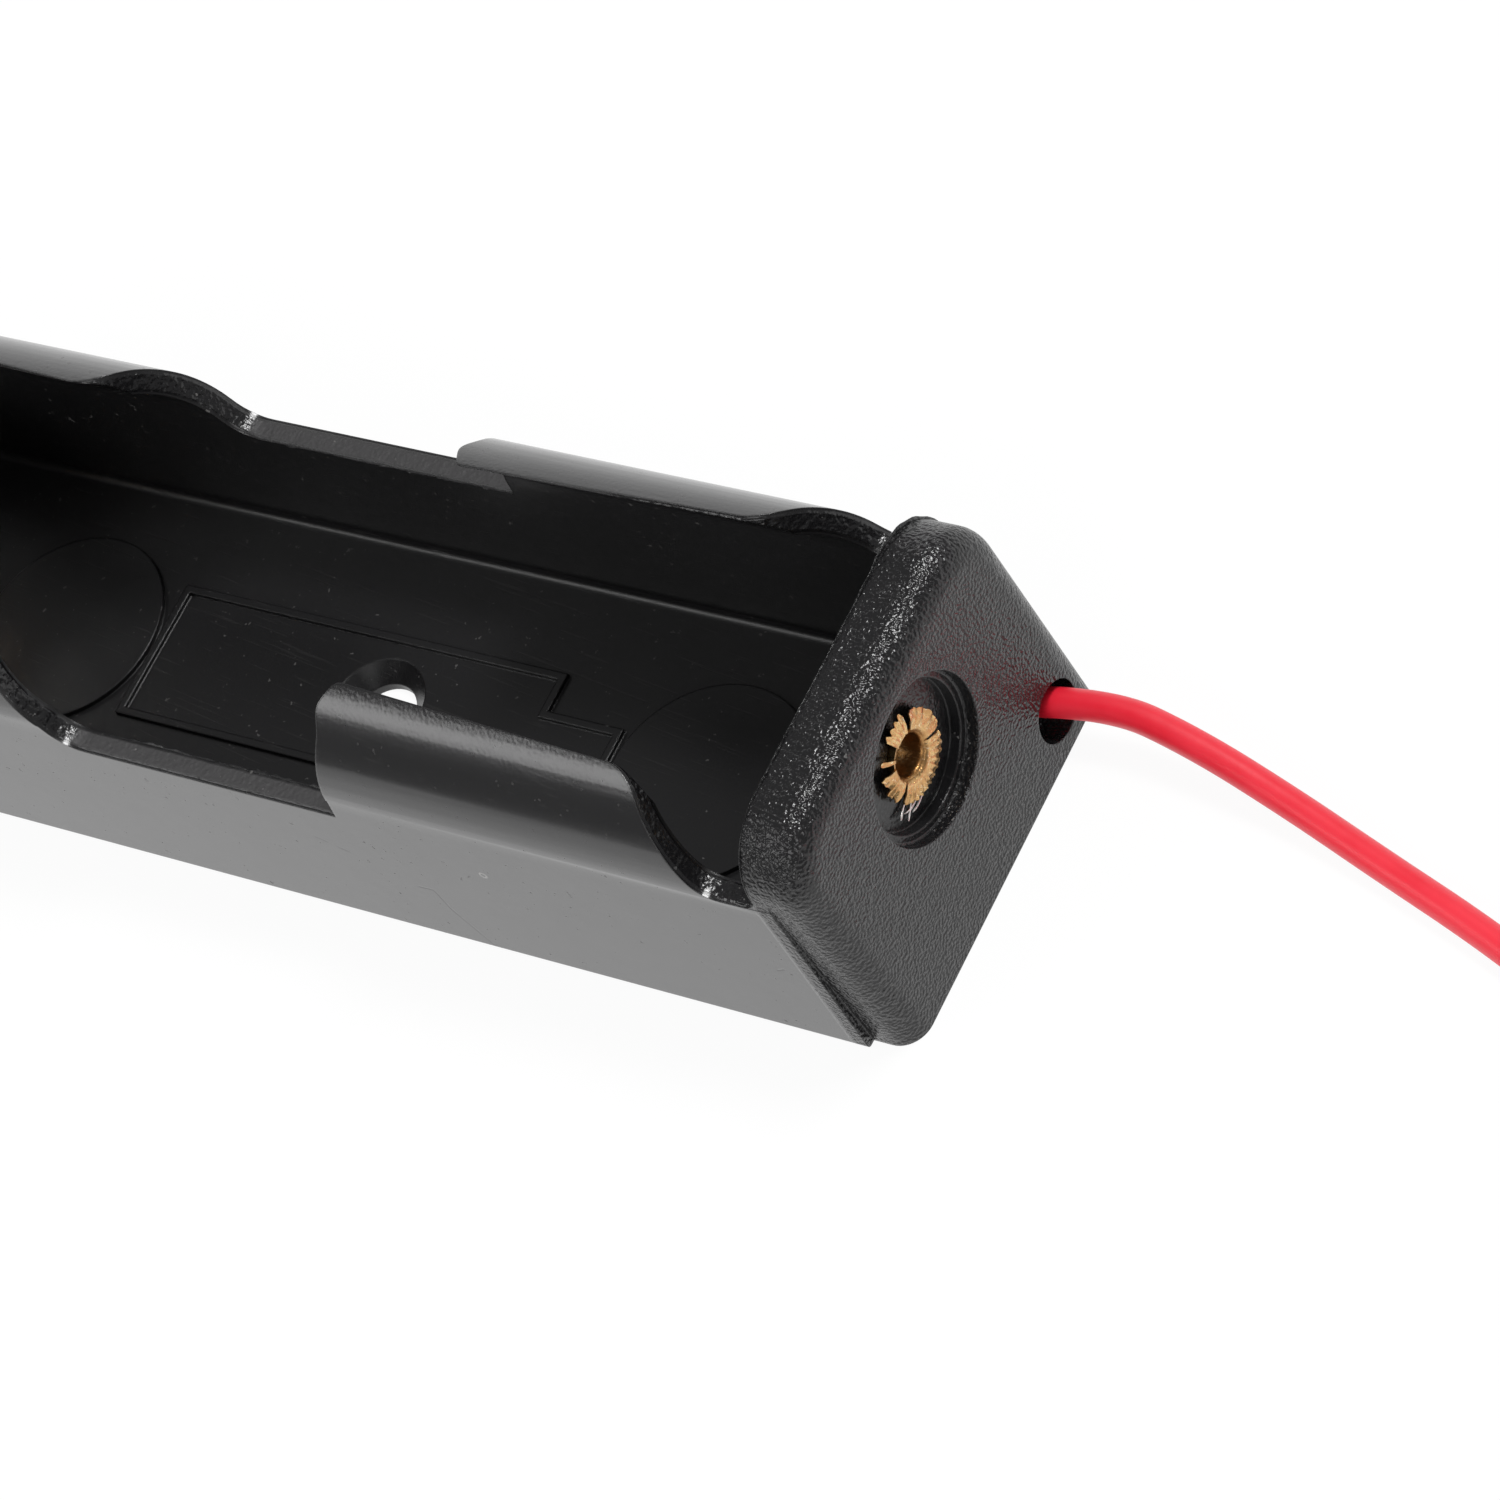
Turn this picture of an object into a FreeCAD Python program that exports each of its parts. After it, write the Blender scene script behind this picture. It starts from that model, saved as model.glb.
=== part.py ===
import FreeCAD, Part
import math
import os

import Sketcher
from FreeCAD import Rotation, Vector

# Holder for one cylindrical lithium cell of the 18650 size, in millimetres.
# +Z is up and the floor's underside is z = 0. The cell lies along X. The end with the
# positive contact and the red lead is +X, and the spring for the cell's negative end is -X.

SIZES = {
    # the cell that the bay is made for
    "cell_width": 18.4,
    "cell_length": 65.2,
    "cell_clearance": 0.05,
    "spring_room": 7.8,
    # moulded tray: floor, side walls and curled lips
    "floor_thickness": 1.5,
    "wall_thickness": 1.35,
    "wall_lean": 0.4,
    "wall_straight_height": 11.5,
    "wall_overrun": 0.8,
    "mouth_width": 14.8,
    "floor_round": 0.5,
    "underside_round": 0.25,
    # side outline of the walls, measured along X from the middle or from the end block
    "ledge_height": 10.8,
    "gap_plus": 9.2,
    "gap_minus": 9.26,
    "gap_foot_round": 2.2,
    "tab_lean": 78.5,
    "tab_corner_round": 1.6,
    "shoulder_angle": 59.0,
    "crest_height": 18.45,
    "crest_round": 2.5,
    "top_fall": 1.3,
    "notch_height": 12.5,
    "notch_length": 3.2,
    "notch_foot_round": 1.8,
    "notch_rise_start": 0.4,
    "notch_rise_angle": 50.0,
    "notch_rise_round": 1.0,
    # end blocks, which stand back from the wall on the -Y side only
    "block_thickness": 3.5,
    "block_height": 17.0,
    "block_inset": 0.5,
    "block_corner_round": 3.8,
    "block_edge_round": 1.6,
    "recess_radius": 4.4,
    "recess_depth": 0.7,
    "seat_radius": 3.9,
    "seat_depth": 1.35,
    "lead_hole_radius": 1.68,
    "lead_hole_offset": 7.9,
    "lead_hole_height": 2.6,
    "groove_width": 1.4,
    # raised marks and the screw hole in the floor
    "disc_radius": 5.9,
    "disc_height": 0.3,
    "disc_offset": 22.0,
    "ridge_width": 0.45,
    "ridge_height": 0.25,
    "mark_minus_end": 15.9,
    "mark_plus_end": 10.7,
    "mark_half_width": 4.2,
    "nub_length": 5.0,
    "nub_half_width": 1.85,
    "screw_radius": 1.9,
    "sink_radius": 2.9,
    "sink_angle": 90.0,
    # eyelet rivets that hold the contacts
    "barrel_radius": 1.35,
    "barrel_wall": 0.25,
    "barrel_clearance": 0.05,
    "head_radius": 3.0,
    "head_thickness": 0.5,
    "head_bevel": 0.2,
    "petal_radius": 2.3,
    "petal_thickness": 0.55,
    "petal_slot_width": 0.3,
    "petal_count": 6,
    # positive contact, lead and spring
    "plate_width": 11.0,
    "plate_thickness": 0.4,
    "plate_corner_round": 0.8,
    "core_width": 0.9,
    "lead_width": 1.6,
    "lead_turns": 2.1,
    "coil_mean_radius": 8.0,
    "lead_tip_length": 5.0,
    "lead_tip_inset": 0.64,
    "spring_wire": 0.8,
    "spring_base_radius": 5.0,
    "spring_tip_radius": 3.4,
    "spring_length": 10.9,
    "spring_active_turns": 3.0,
    "spring_closed_gap": 0.05,
    "spring_bend_radius": 0.9,
    # how far a cutting outline reaches past what it cuts
    "cut_overshoot": 4.0,
}
TOLERANCE = 1e-4

document = FreeCAD.newDocument("CellHolder")
sheet = document.addObject("Spreadsheet::Sheet", "Sizes")


class Size:
    """A number together with the spreadsheet formula that gives it."""

    def __init__(self, value, formula):
        self.value = float(value)
        self.formula = formula

    def __add__(self, other):
        other = as_size(other)
        return Size(self.value + other.value, f"({self.formula} + {other.formula})")

    def __sub__(self, other):
        other = as_size(other)
        return Size(self.value - other.value, f"({self.formula} - {other.formula})")

    def __mul__(self, other):
        other = as_size(other)
        return Size(self.value * other.value, f"({self.formula} * {other.formula})")

    def __truediv__(self, other):
        other = as_size(other)
        return Size(self.value / other.value, f"({self.formula} / {other.formula})")

    def __neg__(self):
        return Size(-self.value, f"(-1 * {self.formula})")


def as_size(number):
    """Let a plain number stand in a formula beside sheet sizes."""
    if isinstance(number, Size):
        return number
    return Size(number, repr(float(number)))


def root(size):
    return Size(math.sqrt(size.value), f"sqrt({size.formula})")


def sine(angle):
    return Size(math.sin(math.radians(angle.value)), f"sin({angle.formula})")


def cosine(angle):
    return Size(math.cos(math.radians(angle.value)), f"cos({angle.formula})")


def tangent(angle):
    return Size(math.tan(math.radians(angle.value)), f"tan({angle.formula})")


def fill_sheet():
    """Write each driving size into the sheet and return it by name."""
    named = {}
    for row, (alias, value) in enumerate(SIZES.items(), start=1):
        sheet.set(f"A{row}", alias.replace("_", " "))
        sheet.set(f"B{row}", str(value))
        sheet.setAlias(f"B{row}", alias)
        named[alias] = Size(value, f"Sizes.{alias}")
    document.recompute()
    return named


size = fill_sheet()
ZERO = as_size(0)

# places that several pieces share
inner_half_width = size["cell_width"] / 2 + size["cell_clearance"]
outer_half_width = inner_half_width + size["wall_thickness"]
foot_half_width = outer_half_width + size["wall_lean"]
inner_end = (size["cell_length"] + size["spring_room"]) / 2
outer_end = inner_end + size["block_thickness"]
wall_end = inner_end + size["wall_overrun"]
axis_height = size["floor_thickness"] + size["cell_width"] / 2
rivet_hole_radius = size["barrel_radius"] + size["barrel_clearance"]
clamped_block = size["block_thickness"] - size["seat_depth"]
groove_depth = size["core_width"]
groove_end = inner_end + groove_depth


def origin_part(body, role):
    """Find one of a body's own origin planes or axes."""
    for feature in body.Origin.OriginFeatures:
        if feature.Role == role:
            return feature
    raise ValueError(role)


class Outline:
    """A sketch whose corners are locked to sheet formulas."""

    def __init__(self, body, name, plane, lift=ZERO):
        self.sketch = body.newObject("Sketcher::SketchObject", name)
        self.sketch.AttachmentSupport = [(origin_part(body, plane), "")]
        self.sketch.MapMode = "FlatFace"
        if lift.value:
            self.sketch.AttachmentOffset.Base.z = lift.value
            self.sketch.setExpression("AttachmentOffset.Base.z", lift.formula)

    def bind(self, kind, *places, formula):
        index = self.sketch.addConstraint(Sketcher.Constraint(kind, *places))
        self.sketch.setExpression(f"Constraints[{index}]", formula)

    def lock(self, piece, end, across, up):
        """Hold one point of a sketch piece at a place given by two sizes."""
        for kind, axis, place in (("DistanceX", -2, across), ("DistanceY", -1, up)):
            if place.value > 0:
                self.bind(kind, -1, 1, piece, end, place.value, formula=place.formula)
            elif place.value < 0:
                back = -place
                self.bind(kind, piece, end, -1, 1, back.value, formula=back.formula)
            else:
                self.sketch.addConstraint(Sketcher.Constraint("PointOnObject", piece, end, axis))

    def loop(self, steps):
        """Draw a closed loop. A step is (across, up) or (across, up, radius, bulge).

        The radius belongs to the stretch that leads to the step. A bulge of 1 puts the arc's
        middle on the left of the way from point to point, and -1 on the right.
        """
        first = self.sketch.GeometryCount
        before = steps[-1]
        for number, step in enumerate(steps):
            start = Vector(before[0].value, before[1].value, 0)
            end = Vector(step[0].value, step[1].value, 0)
            if len(step) > 2:
                radius = step[2].value
                chord = end - start
                left = Vector(-chord.y, chord.x, 0).normalize() * step[3]
                rise = radius - math.sqrt(max(radius**2 - chord.Length**2 / 4, 0))
                shape = Part.Arc(start, (start + end) / 2 + left * rise, end)
            else:
                shape = Part.LineSegment(start, end)
            self.sketch.addGeometry(shape, False)
            before = step
        count = len(steps)
        for number, step in enumerate(steps):
            here = first + number
            following = first + (number + 1) % count
            # an arc that runs clockwise is stored the other way round
            end = 1 if len(step) > 2 and step[3] > 0 else 2
            after = steps[(number + 1) % count]
            start = 2 if len(after) > 2 and after[3] > 0 else 1
            self.sketch.addConstraint(Sketcher.Constraint("Coincident", here, end, following, start))
            self.lock(here, end, step[0], step[1])
            if len(step) > 2:
                self.bind("Radius", here, step[2].value, formula=step[2].formula)
        return self

    def circle(self, across, up, radius):
        centre = Vector(across.value, up.value, 0)
        piece = self.sketch.addGeometry(Part.Circle(centre, Vector(0, 0, 1), radius.value), False)
        self.lock(piece, 3, across, up)
        self.bind("Radius", piece, radius.value, formula=radius.formula)
        return self


def bend(corner, way_in, way_out, radius):
    """Two steps that round a corner between two ways, each an angle in degrees."""
    turn = way_out - way_in
    reach = radius * tangent((turn if turn.value > 0 else -turn) / 2)
    before = (corner[0] - reach * cosine(way_in), corner[1] - reach * sine(way_in))
    after = (corner[0] + reach * cosine(way_out), corner[1] + reach * sine(way_out))
    return [before, (*after, radius, -1 if turn.value > 0 else 1)]


def new_body(label):
    body = document.addObject("PartDesign::Body", label)
    body.Label = label
    return body


def pad(body, name, outline, length, reverse=False, symmetric=False):
    feature = body.newObject("PartDesign::Pad", name)
    feature.Profile = outline.sketch
    feature.SideType = "Symmetric" if symmetric else "One side"
    feature.Reversed = reverse
    feature.setExpression("Length", length.formula)
    document.recompute()
    return feature


def pocket(body, name, outline, length, reverse=False, symmetric=False):
    """Cut a sketch out of a body and make sure that it took something away."""
    before = body.Shape.Volume
    feature = body.newObject("PartDesign::Pocket", name)
    feature.Profile = outline.sketch
    feature.SideType = "Symmetric" if symmetric else "One side"
    feature.Reversed = reverse
    feature.setExpression("Length", length.formula)
    document.recompute()
    if body.Shape.Volume >= before:
        raise RuntimeError(f"{name} cuts nothing")
    return feature


def mirror(body, name, features, plane):
    feature = body.newObject("PartDesign::Mirrored", name)
    feature.Originals = features
    feature.MirrorPlane = (origin_part(body, plane), [""])
    body.Tip = feature
    document.recompute()
    return feature


def same(one, other):
    return abs(one - other) < TOLERANCE


def tray_section(body):
    """Half of the cross-section: floor, side wall that leans in a little, and curled lip."""
    straight = size["wall_straight_height"]
    lip = size["mouth_width"] / 2
    outer_top = straight + root(outer_half_width * outer_half_width - lip * lip)
    inner_top = straight + root(inner_half_width * inner_half_width - lip * lip)
    floor = size["floor_thickness"]
    inside = size["floor_round"]
    under = size["underside_round"]
    inner_foot = inner_half_width + size["wall_lean"]
    outline = Outline(body, "Section", "YZ_Plane")
    return outline.loop([
        (ZERO, ZERO),
        (foot_half_width - under, ZERO),
        (foot_half_width, under, under, -1),
        (outer_half_width, straight),
        (lip, outer_top, outer_half_width, -1),
        (lip, inner_top),
        (inner_half_width, straight, inner_half_width, 1),
        (inner_foot, floor + inside),
        (inner_foot - inside, floor, inside, 1),
        (ZERO, floor),
    ])


def side_outline(body):
    """Everything above the walls' upper edge, which runs here from +X to -X."""
    left = as_size(180)
    rise = size["notch_rise_angle"]
    slope = size["shoulder_angle"]
    fall = size["top_fall"]
    lean = size["tab_lean"]
    notch = size["notch_height"]
    ledge = size["ledge_height"]
    crest = size["crest_height"]
    beyond = wall_end + size["cut_overshoot"]
    sky = crest + size["cut_overshoot"]
    rise_x = inner_end - size["notch_rise_start"]
    rise_top = notch + (beyond - rise_x) * tangent(rise)
    foot_x = inner_end - size["notch_length"]
    crest_x = foot_x - (crest - notch) / tangent(slope)

    # the tab's leaning end meets its gently falling top
    gap_x = size["gap_plus"]
    top_at_gap = crest + (crest_x - gap_x) * tangent(fall)
    tab_run = (top_at_gap - ledge) / (tangent(lean) + tangent(fall))
    tab_corner = (gap_x + tab_run, ledge + tab_run * tangent(lean))

    # on the other side of the gap a shoulder climbs to the second tab's top
    far_x = -size["gap_minus"]
    far_top_at_gap = crest + (crest_x + far_x) * tangent(fall)
    far_run = (far_top_at_gap - ledge) / (tangent(slope) + tangent(fall))
    far_crest = (far_x - far_run, ledge + far_run * tangent(slope))

    foot_round = size["notch_foot_round"]
    crest_round = size["crest_round"]
    rise_round = size["notch_rise_round"]
    outline = Outline(body, "SideOutline", "XZ_Plane")
    return outline.loop([
        (beyond, sky),
        (beyond, rise_top),
        *bend((rise_x, notch), left + rise, left, rise_round),
        *bend((foot_x, notch), left, left - slope, foot_round),
        *bend((crest_x, crest), left - slope, left - fall, crest_round),
        *bend(tab_corner, left - fall, left + lean, size["tab_corner_round"]),
        (gap_x, ledge),
        *bend((far_x, ledge), left, left - slope, size["gap_foot_round"]),
        *bend(far_crest, left - slope, left + fall, crest_round),
        *bend((-crest_x, crest), left + fall, left + slope, crest_round),
        *bend((-foot_x, notch), left + slope, left, foot_round),
        *bend((-rise_x, notch), left, left - rise, rise_round),
        (-beyond, rise_top),
        (-beyond, sky),
    ])


def block_outline(body):
    """End block seen from the end, with its two large upper corners."""
    near = size["block_inset"] - foot_half_width
    far = foot_half_width
    top = size["block_height"]
    corner = size["block_corner_round"]
    outline = Outline(body, "BlockOutline", "YZ_Plane", inner_end)
    return outline.loop([
        (near, ZERO),
        (far, ZERO),
        (far, top - corner),
        (far - corner, top, corner, -1),
        (near + corner, top),
        (near, top - corner, corner, -1),
    ])


def round_block_edges(body):
    """Round the rim of both outer faces, all but its straight edge on the ground."""
    base = body.Tip
    shape = base.Shape
    names = []
    for number, edge in enumerate(shape.Edges, start=1):
        on_face = all(same(abs(vertex.X), outer_end.value) for vertex in edge.Vertexes)
        if on_face and edge.BoundBox.ZMax > TOLERANCE:
            names.append(f"Edge{number}")
    rounded = body.newObject("PartDesign::Fillet", "BlockEdges")
    rounded.Base = (base, names)
    rounded.setExpression("Radius", size["block_edge_round"].formula)
    document.recompute()


def groove_outline(body):
    """Straight channel from the middle of the lead hole to the rivet."""
    offset = size["lead_hole_offset"]
    drop = axis_height - size["lead_hole_height"]
    length = root(offset * offset + drop * drop)
    half = size["groove_width"] / 2
    side = (half * drop / length, half * offset / length)
    outline = Outline(body, "GrooveOutline", "YZ_Plane", inner_end)
    return outline.loop([
        (offset + side[0], size["lead_hole_height"] + side[1]),
        (side[0], axis_height + side[1]),
        (-side[0], axis_height - side[1]),
        (offset - side[0], size["lead_hole_height"] - side[1]),
    ])


def battery_mark(body):
    """Outline of a cell with its positive nub, as one raised ridge."""
    outline = Outline(body, "BatteryMark", "XY_Plane", size["floor_thickness"])
    for shrink in (ZERO, size["ridge_width"]):
        minus_end = -size["mark_minus_end"] + shrink
        plus_end = size["mark_plus_end"] - shrink
        nub_end = size["mark_plus_end"] + size["nub_length"] - shrink
        half = size["mark_half_width"] - shrink
        nub = size["nub_half_width"] - shrink
        outline.loop([
            (minus_end, -half),
            (plus_end, -half),
            (plus_end, -nub),
            (nub_end, -nub),
            (nub_end, nub),
            (plus_end, nub),
            (plus_end, half),
            (minus_end, half),
        ])
    return outline


def screw_hole(body):
    """Countersunk hole through the middle of the floor."""
    outline = Outline(body, "ScrewCentre", "XY_Plane", size["floor_thickness"])
    outline.circle(ZERO, ZERO, size["screw_radius"])
    document.recompute()
    before = body.Shape.Volume
    hole = body.newObject("PartDesign::Hole", "ScrewHole")
    hole.Profile = outline.sketch
    document.recompute()
    hole.DepthType = "ThroughAll"
    hole.Threaded = False
    hole.HoleCutType = "Countersink"
    hole.HoleCutCustomValues = True
    hole.DrillPoint = "Flat"
    hole.setExpression("Diameter", (size["screw_radius"] * 2).formula)
    hole.setExpression("HoleCutDiameter", (size["sink_radius"] * 2).formula)
    hole.setExpression("HoleCutCountersinkAngle", size["sink_angle"].formula)
    document.recompute()
    if body.Shape.Volume >= before:
        raise RuntimeError("the screw hole cuts nothing")


def make_tray():
    """One moulding: floor, curled side walls, end blocks and raised marks."""
    body = new_body("tray")
    half = pad(body, "HalfTray", tray_section(body), wall_end * 2, symmetric=True)
    mirror(body, "BothWalls", [half], "XZ_Plane")
    pocket(body, "SideCut", side_outline(body), foot_half_width * 4, symmetric=True)

    block = pad(body, "EndBlock", block_outline(body), size["block_thickness"])
    mirror(body, "EndBlocks", [block], "YZ_Plane")

    round_block_edges(body)

    recess = Outline(body, "RecessOutline", "YZ_Plane", outer_end)
    recess.circle(ZERO, axis_height, size["recess_radius"])
    seat = Outline(body, "SeatOutline", "YZ_Plane", outer_end)
    seat.circle(ZERO, axis_height, size["seat_radius"])
    rivet = Outline(body, "RivetOutline", "YZ_Plane", outer_end)
    rivet.circle(ZERO, axis_height, rivet_hole_radius)
    lead = Outline(body, "LeadOutline", "YZ_Plane", outer_end)
    lead.circle(size["lead_hole_offset"], size["lead_hole_height"], size["lead_hole_radius"])
    cuts = [
        pocket(body, "Recess", recess, size["recess_depth"]),
        pocket(body, "RivetSeat", seat, size["seat_depth"]),
        pocket(body, "RivetHole", rivet, size["block_thickness"]),
        pocket(body, "LeadHole", lead, size["block_thickness"]),
        pocket(body, "ConductorGroove", groove_outline(body), groove_depth, reverse=True),
    ]
    mirror(body, "EndCuts", cuts, "YZ_Plane")

    disc = Outline(body, "DiscOutline", "XY_Plane", size["floor_thickness"])
    disc.circle(size["disc_offset"], ZERO, size["disc_radius"])
    raised = pad(body, "Disc", disc, size["disc_height"])
    mirror(body, "Discs", [raised], "YZ_Plane")
    pad(body, "MarkRidge", battery_mark(body), size["ridge_height"])
    screw_hole(body)
    return body


def make_contact_plate():
    """Nickel plate that the cell's positive end presses on."""
    body = new_body("positive_contact")
    half = size["plate_width"] / 2
    corner = size["plate_corner_round"]
    low = axis_height - half
    high = axis_height + half
    outline = Outline(body, "PlateOutline", "YZ_Plane", inner_end)
    outline.loop([
        (-half + corner, low, corner, -1),
        (half - corner, low),
        (half, low + corner, corner, -1),
        (half, high - corner),
        (half - corner, high, corner, -1),
        (-half + corner, high),
        (-half, high - corner, corner, -1),
        (-half, low + corner),
    ])
    outline.circle(ZERO, axis_height, rivet_hole_radius)
    pad(body, "Plate", outline, size["plate_thickness"], reverse=True)
    return body


def make_rivet(label, contact_thickness, turned):
    """Eyelet with its head inside the bay and its slotted end spread in the recess."""
    body = new_body(label)
    grip = contact_thickness + clamped_block
    bore = size["barrel_radius"] - size["barrel_wall"]
    head = size["head_radius"]
    thick = size["head_thickness"]
    edge = size["head_bevel"]
    petal = size["petal_radius"]
    petal_top = grip + size["petal_thickness"]
    tip_bevel = size["petal_thickness"] / 2
    throat = size["barrel_wall"]
    outline = Outline(body, "RivetSection", "XZ_Plane")
    outline.loop([
        (-thick, bore),
        (-thick, head - edge),
        (-thick + edge, head),
        (ZERO, head),
        (ZERO, size["barrel_radius"]),
        (grip, size["barrel_radius"]),
        (grip, petal),
        (petal_top - tip_bevel, petal),
        (petal_top, petal - tip_bevel),
        (petal_top, bore + throat),
        (petal_top - throat, bore),
    ])
    turned_solid = body.newObject("PartDesign::Revolution", "Turned")
    turned_solid.Profile = outline.sketch
    turned_solid.ReferenceAxis = (origin_part(body, "X_Axis"), [""])
    turned_solid.Angle = 360
    document.recompute()

    half_slot = size["petal_slot_width"] / 2
    slot = Outline(body, "SlotOutline", "YZ_Plane", petal_top)
    slot.loop([
        (-half_slot, size["barrel_radius"]),
        (half_slot, size["barrel_radius"]),
        (half_slot, petal + size["cut_overshoot"]),
        (-half_slot, petal + size["cut_overshoot"]),
    ])
    first_slot = pocket(body, "PetalSlot", slot, size["petal_thickness"])
    slots = body.newObject("PartDesign::PolarPattern", "PetalSlots")
    slots.Originals = [first_slot]
    slots.Axis = (origin_part(body, "X_Axis"), [""])
    slots.Angle = 360
    slots.setExpression("Occurrences", size["petal_count"].formula)
    body.Tip = slots
    document.recompute()

    seat = inner_end - contact_thickness
    if turned:
        seat = -seat
        body.Placement.Rotation = Rotation(Vector(0, 0, 1), 180)
    body.setExpression("Placement.Base.x", seat.formula)
    body.setExpression("Placement.Base.z", axis_height.formula)
    return body


def primitive(kind, name, **sizes):
    """A Part primitive whose properties follow sheet formulas."""
    item = document.addObject(kind, name)
    for prop, given in sizes.items():
        item.setExpression(prop, as_size(given).formula)
    return item


def place(item, x, y, z):
    for axis, given in zip("xyz", (x, y, z)):
        item.setExpression(f"Placement.Base.{axis}", as_size(given).formula)
    return item


def make_conductor():
    """Bare end of the red lead, laid in the block's groove from the lead's end to the rivet."""
    offset = size["lead_hole_offset"]
    height = size["lead_hole_height"]
    drop = axis_height - height
    radius = size["core_width"] / 2
    middle = inner_end + radius
    bite = size["barrel_clearance"] * 2
    run = root(offset * offset + drop * drop) - size["barrel_radius"] + bite
    along = primitive("Part::Cylinder", "red_conductor", Radius=radius, Height=run)
    along.Label = "red_conductor"
    along.Placement.Rotation = Rotation(Vector(1, 0, 0), 45)
    along.setExpression("Placement.Rotation.Angle", f"atan({(offset / drop).formula})")
    place(along, middle, offset, height)
    document.recompute()
    return along


def sheet_value(alias):
    return float(getattr(sheet, alias))


WIRE_SIDES = 8
EYE_TURN = 280.0


def wire_section(radius, place, heading):
    """Many-sided section of spring wire, square to its heading, as wide as the round wire."""
    across = heading.cross(Vector(1, 0, 0)).normalize()
    up = heading.cross(across)
    corners = []
    for number in range(WIRE_SIDES):
        around = 2 * math.pi * (number + 0.5) / WIRE_SIDES
        corners.append(place + (across * math.cos(around) + up * math.sin(around)) * radius)
    return Part.makePolygon(corners + corners[:1])


def spring_tail(seat_x, height, wire):
    """Eye around the rivet, and the leg that leads from it up to the first turn."""
    eye = sheet_value("barrel_radius") + sheet_value("barrel_clearance") + wire / 2
    base = sheet_value("spring_base_radius")
    bend = sheet_value("spring_bend_radius")

    def on_eye(degrees):
        angle = math.radians(degrees)
        return Vector(seat_x, eye * math.cos(angle), height + eye * math.sin(angle))

    leg_top = Vector(seat_x, eye, height + base - bend)
    bend_middle = Vector(seat_x, eye - bend + bend * math.sqrt(0.5),
                         height + base - bend + bend * math.sqrt(0.5))
    bend_end = Vector(seat_x, eye - bend, height + base)
    return [
        Part.Arc(on_eye(-EYE_TURN), on_eye(-EYE_TURN / 2), on_eye(0)),
        Part.LineSegment(on_eye(0), leg_top),
        Part.Arc(leg_top, bend_middle, bend_end),
        Part.LineSegment(bend_end, Vector(seat_x, 0, height + base)),
    ]


def half_turns(seat_x, height, wire):
    """Half turns of the coil, each flat in a plane that holds the Y direction.

    Each starts and ends straight along Y, so the next one joins on smoothly. One closed turn
    lies at either end, and the active turns between them narrow towards the free end.
    """
    base = sheet_value("spring_base_radius")
    tip = sheet_value("spring_tip_radius")
    closed_step = (wire + sheet_value("spring_closed_gap")) / 2
    active_halves = round(2 * sheet_value("spring_active_turns"))
    active_step = (sheet_value("spring_length") - wire - closed_step * 4) / active_halves
    steps = [closed_step] * 2 + [active_step] * active_halves + [closed_step] * 2
    narrowings = [0.0] * 2 + [(base - tip) / active_halves] * active_halves + [0.0] * 2
    side = 1
    x = seat_x
    radius = base
    arcs = []
    for step, narrowing in zip(steps, narrowings):
        start = Vector(x, 0, height + side * radius)
        end = Vector(x + step, 0, height - side * (radius - narrowing))
        bulge = Vector(0, -side, 0) * (start.distanceToPoint(end) / 2)
        arcs.append(Part.Arc(start, (start + end) / 2 + bulge, end))
        x += step
        radius -= narrowing
        side = -side
    return arcs


def make_spring():
    """Conical wire spring with closed ends and an eye that the negative rivet clamps."""
    wire = sheet_value("spring_wire")
    seat_x = wire / 2 - inner_end.value
    height = axis_height.value
    path = spring_tail(seat_x, height, wire) + half_turns(seat_x, height, wire)
    start = path[0].StartPoint
    heading = Vector(0, -(start.z - height), start.y)
    section = wire_section(wire / 2, start, heading.normalize())
    spine = Part.Wire([piece.toShape() for piece in path])
    feature = document.addObject("Part::Feature", "negative_spring")
    feature.Label = "negative_spring"
    feature.Shape = spine.makePipeShell([section], True, False)
    return feature


# The red lead's way from inside its hole to its storage coil, as corner points that
# tangent arcs round off. The first point is tied to the hole.
LEAD_WAY = [
    (42.6, 8.95, 3.0),
    (48.0, 8.2, 2.4),
    (53.8, 6.85, 1.3),
    (59.8, 4.95, 0.8),
    (65.8, 2.85, 0.8),
    (71.2, 0.6, 0.8),
    (76.43, -1.1, 0.8),
]
COIL_HEADING = -10.0
ARC_SHARE = 0.45


def rounded_way(points):
    """Straight runs joined by tangent arcs, each as large as its two runs allow."""
    edges = []
    here = points[0]
    for before, corner, after in zip(points, points[1:], points[2:]):
        way_in = (corner - before).normalize()
        way_out = (after - corner).normalize()
        half_turn = way_in.getAngle(way_out) / 2
        reach = ARC_SHARE * min(corner.distanceToPoint(before), corner.distanceToPoint(after))
        radius = reach / math.tan(half_turn)
        start = corner - way_in * reach
        end = corner + way_out * reach
        inward = (way_out - way_in).normalize()
        middle = corner + inward * (radius / math.cos(half_turn) - radius)
        edges.append(Part.LineSegment(here, start).toShape())
        edges.append(Part.Arc(start, middle, end).toShape())
        print(f"lead arc radius {radius:.1f} mm, turn {math.degrees(2 * half_turn):.1f} degrees")
        here = end
    edges.append(Part.LineSegment(here, points[-1]).toShape())
    return Part.Wire(edges)


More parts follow.
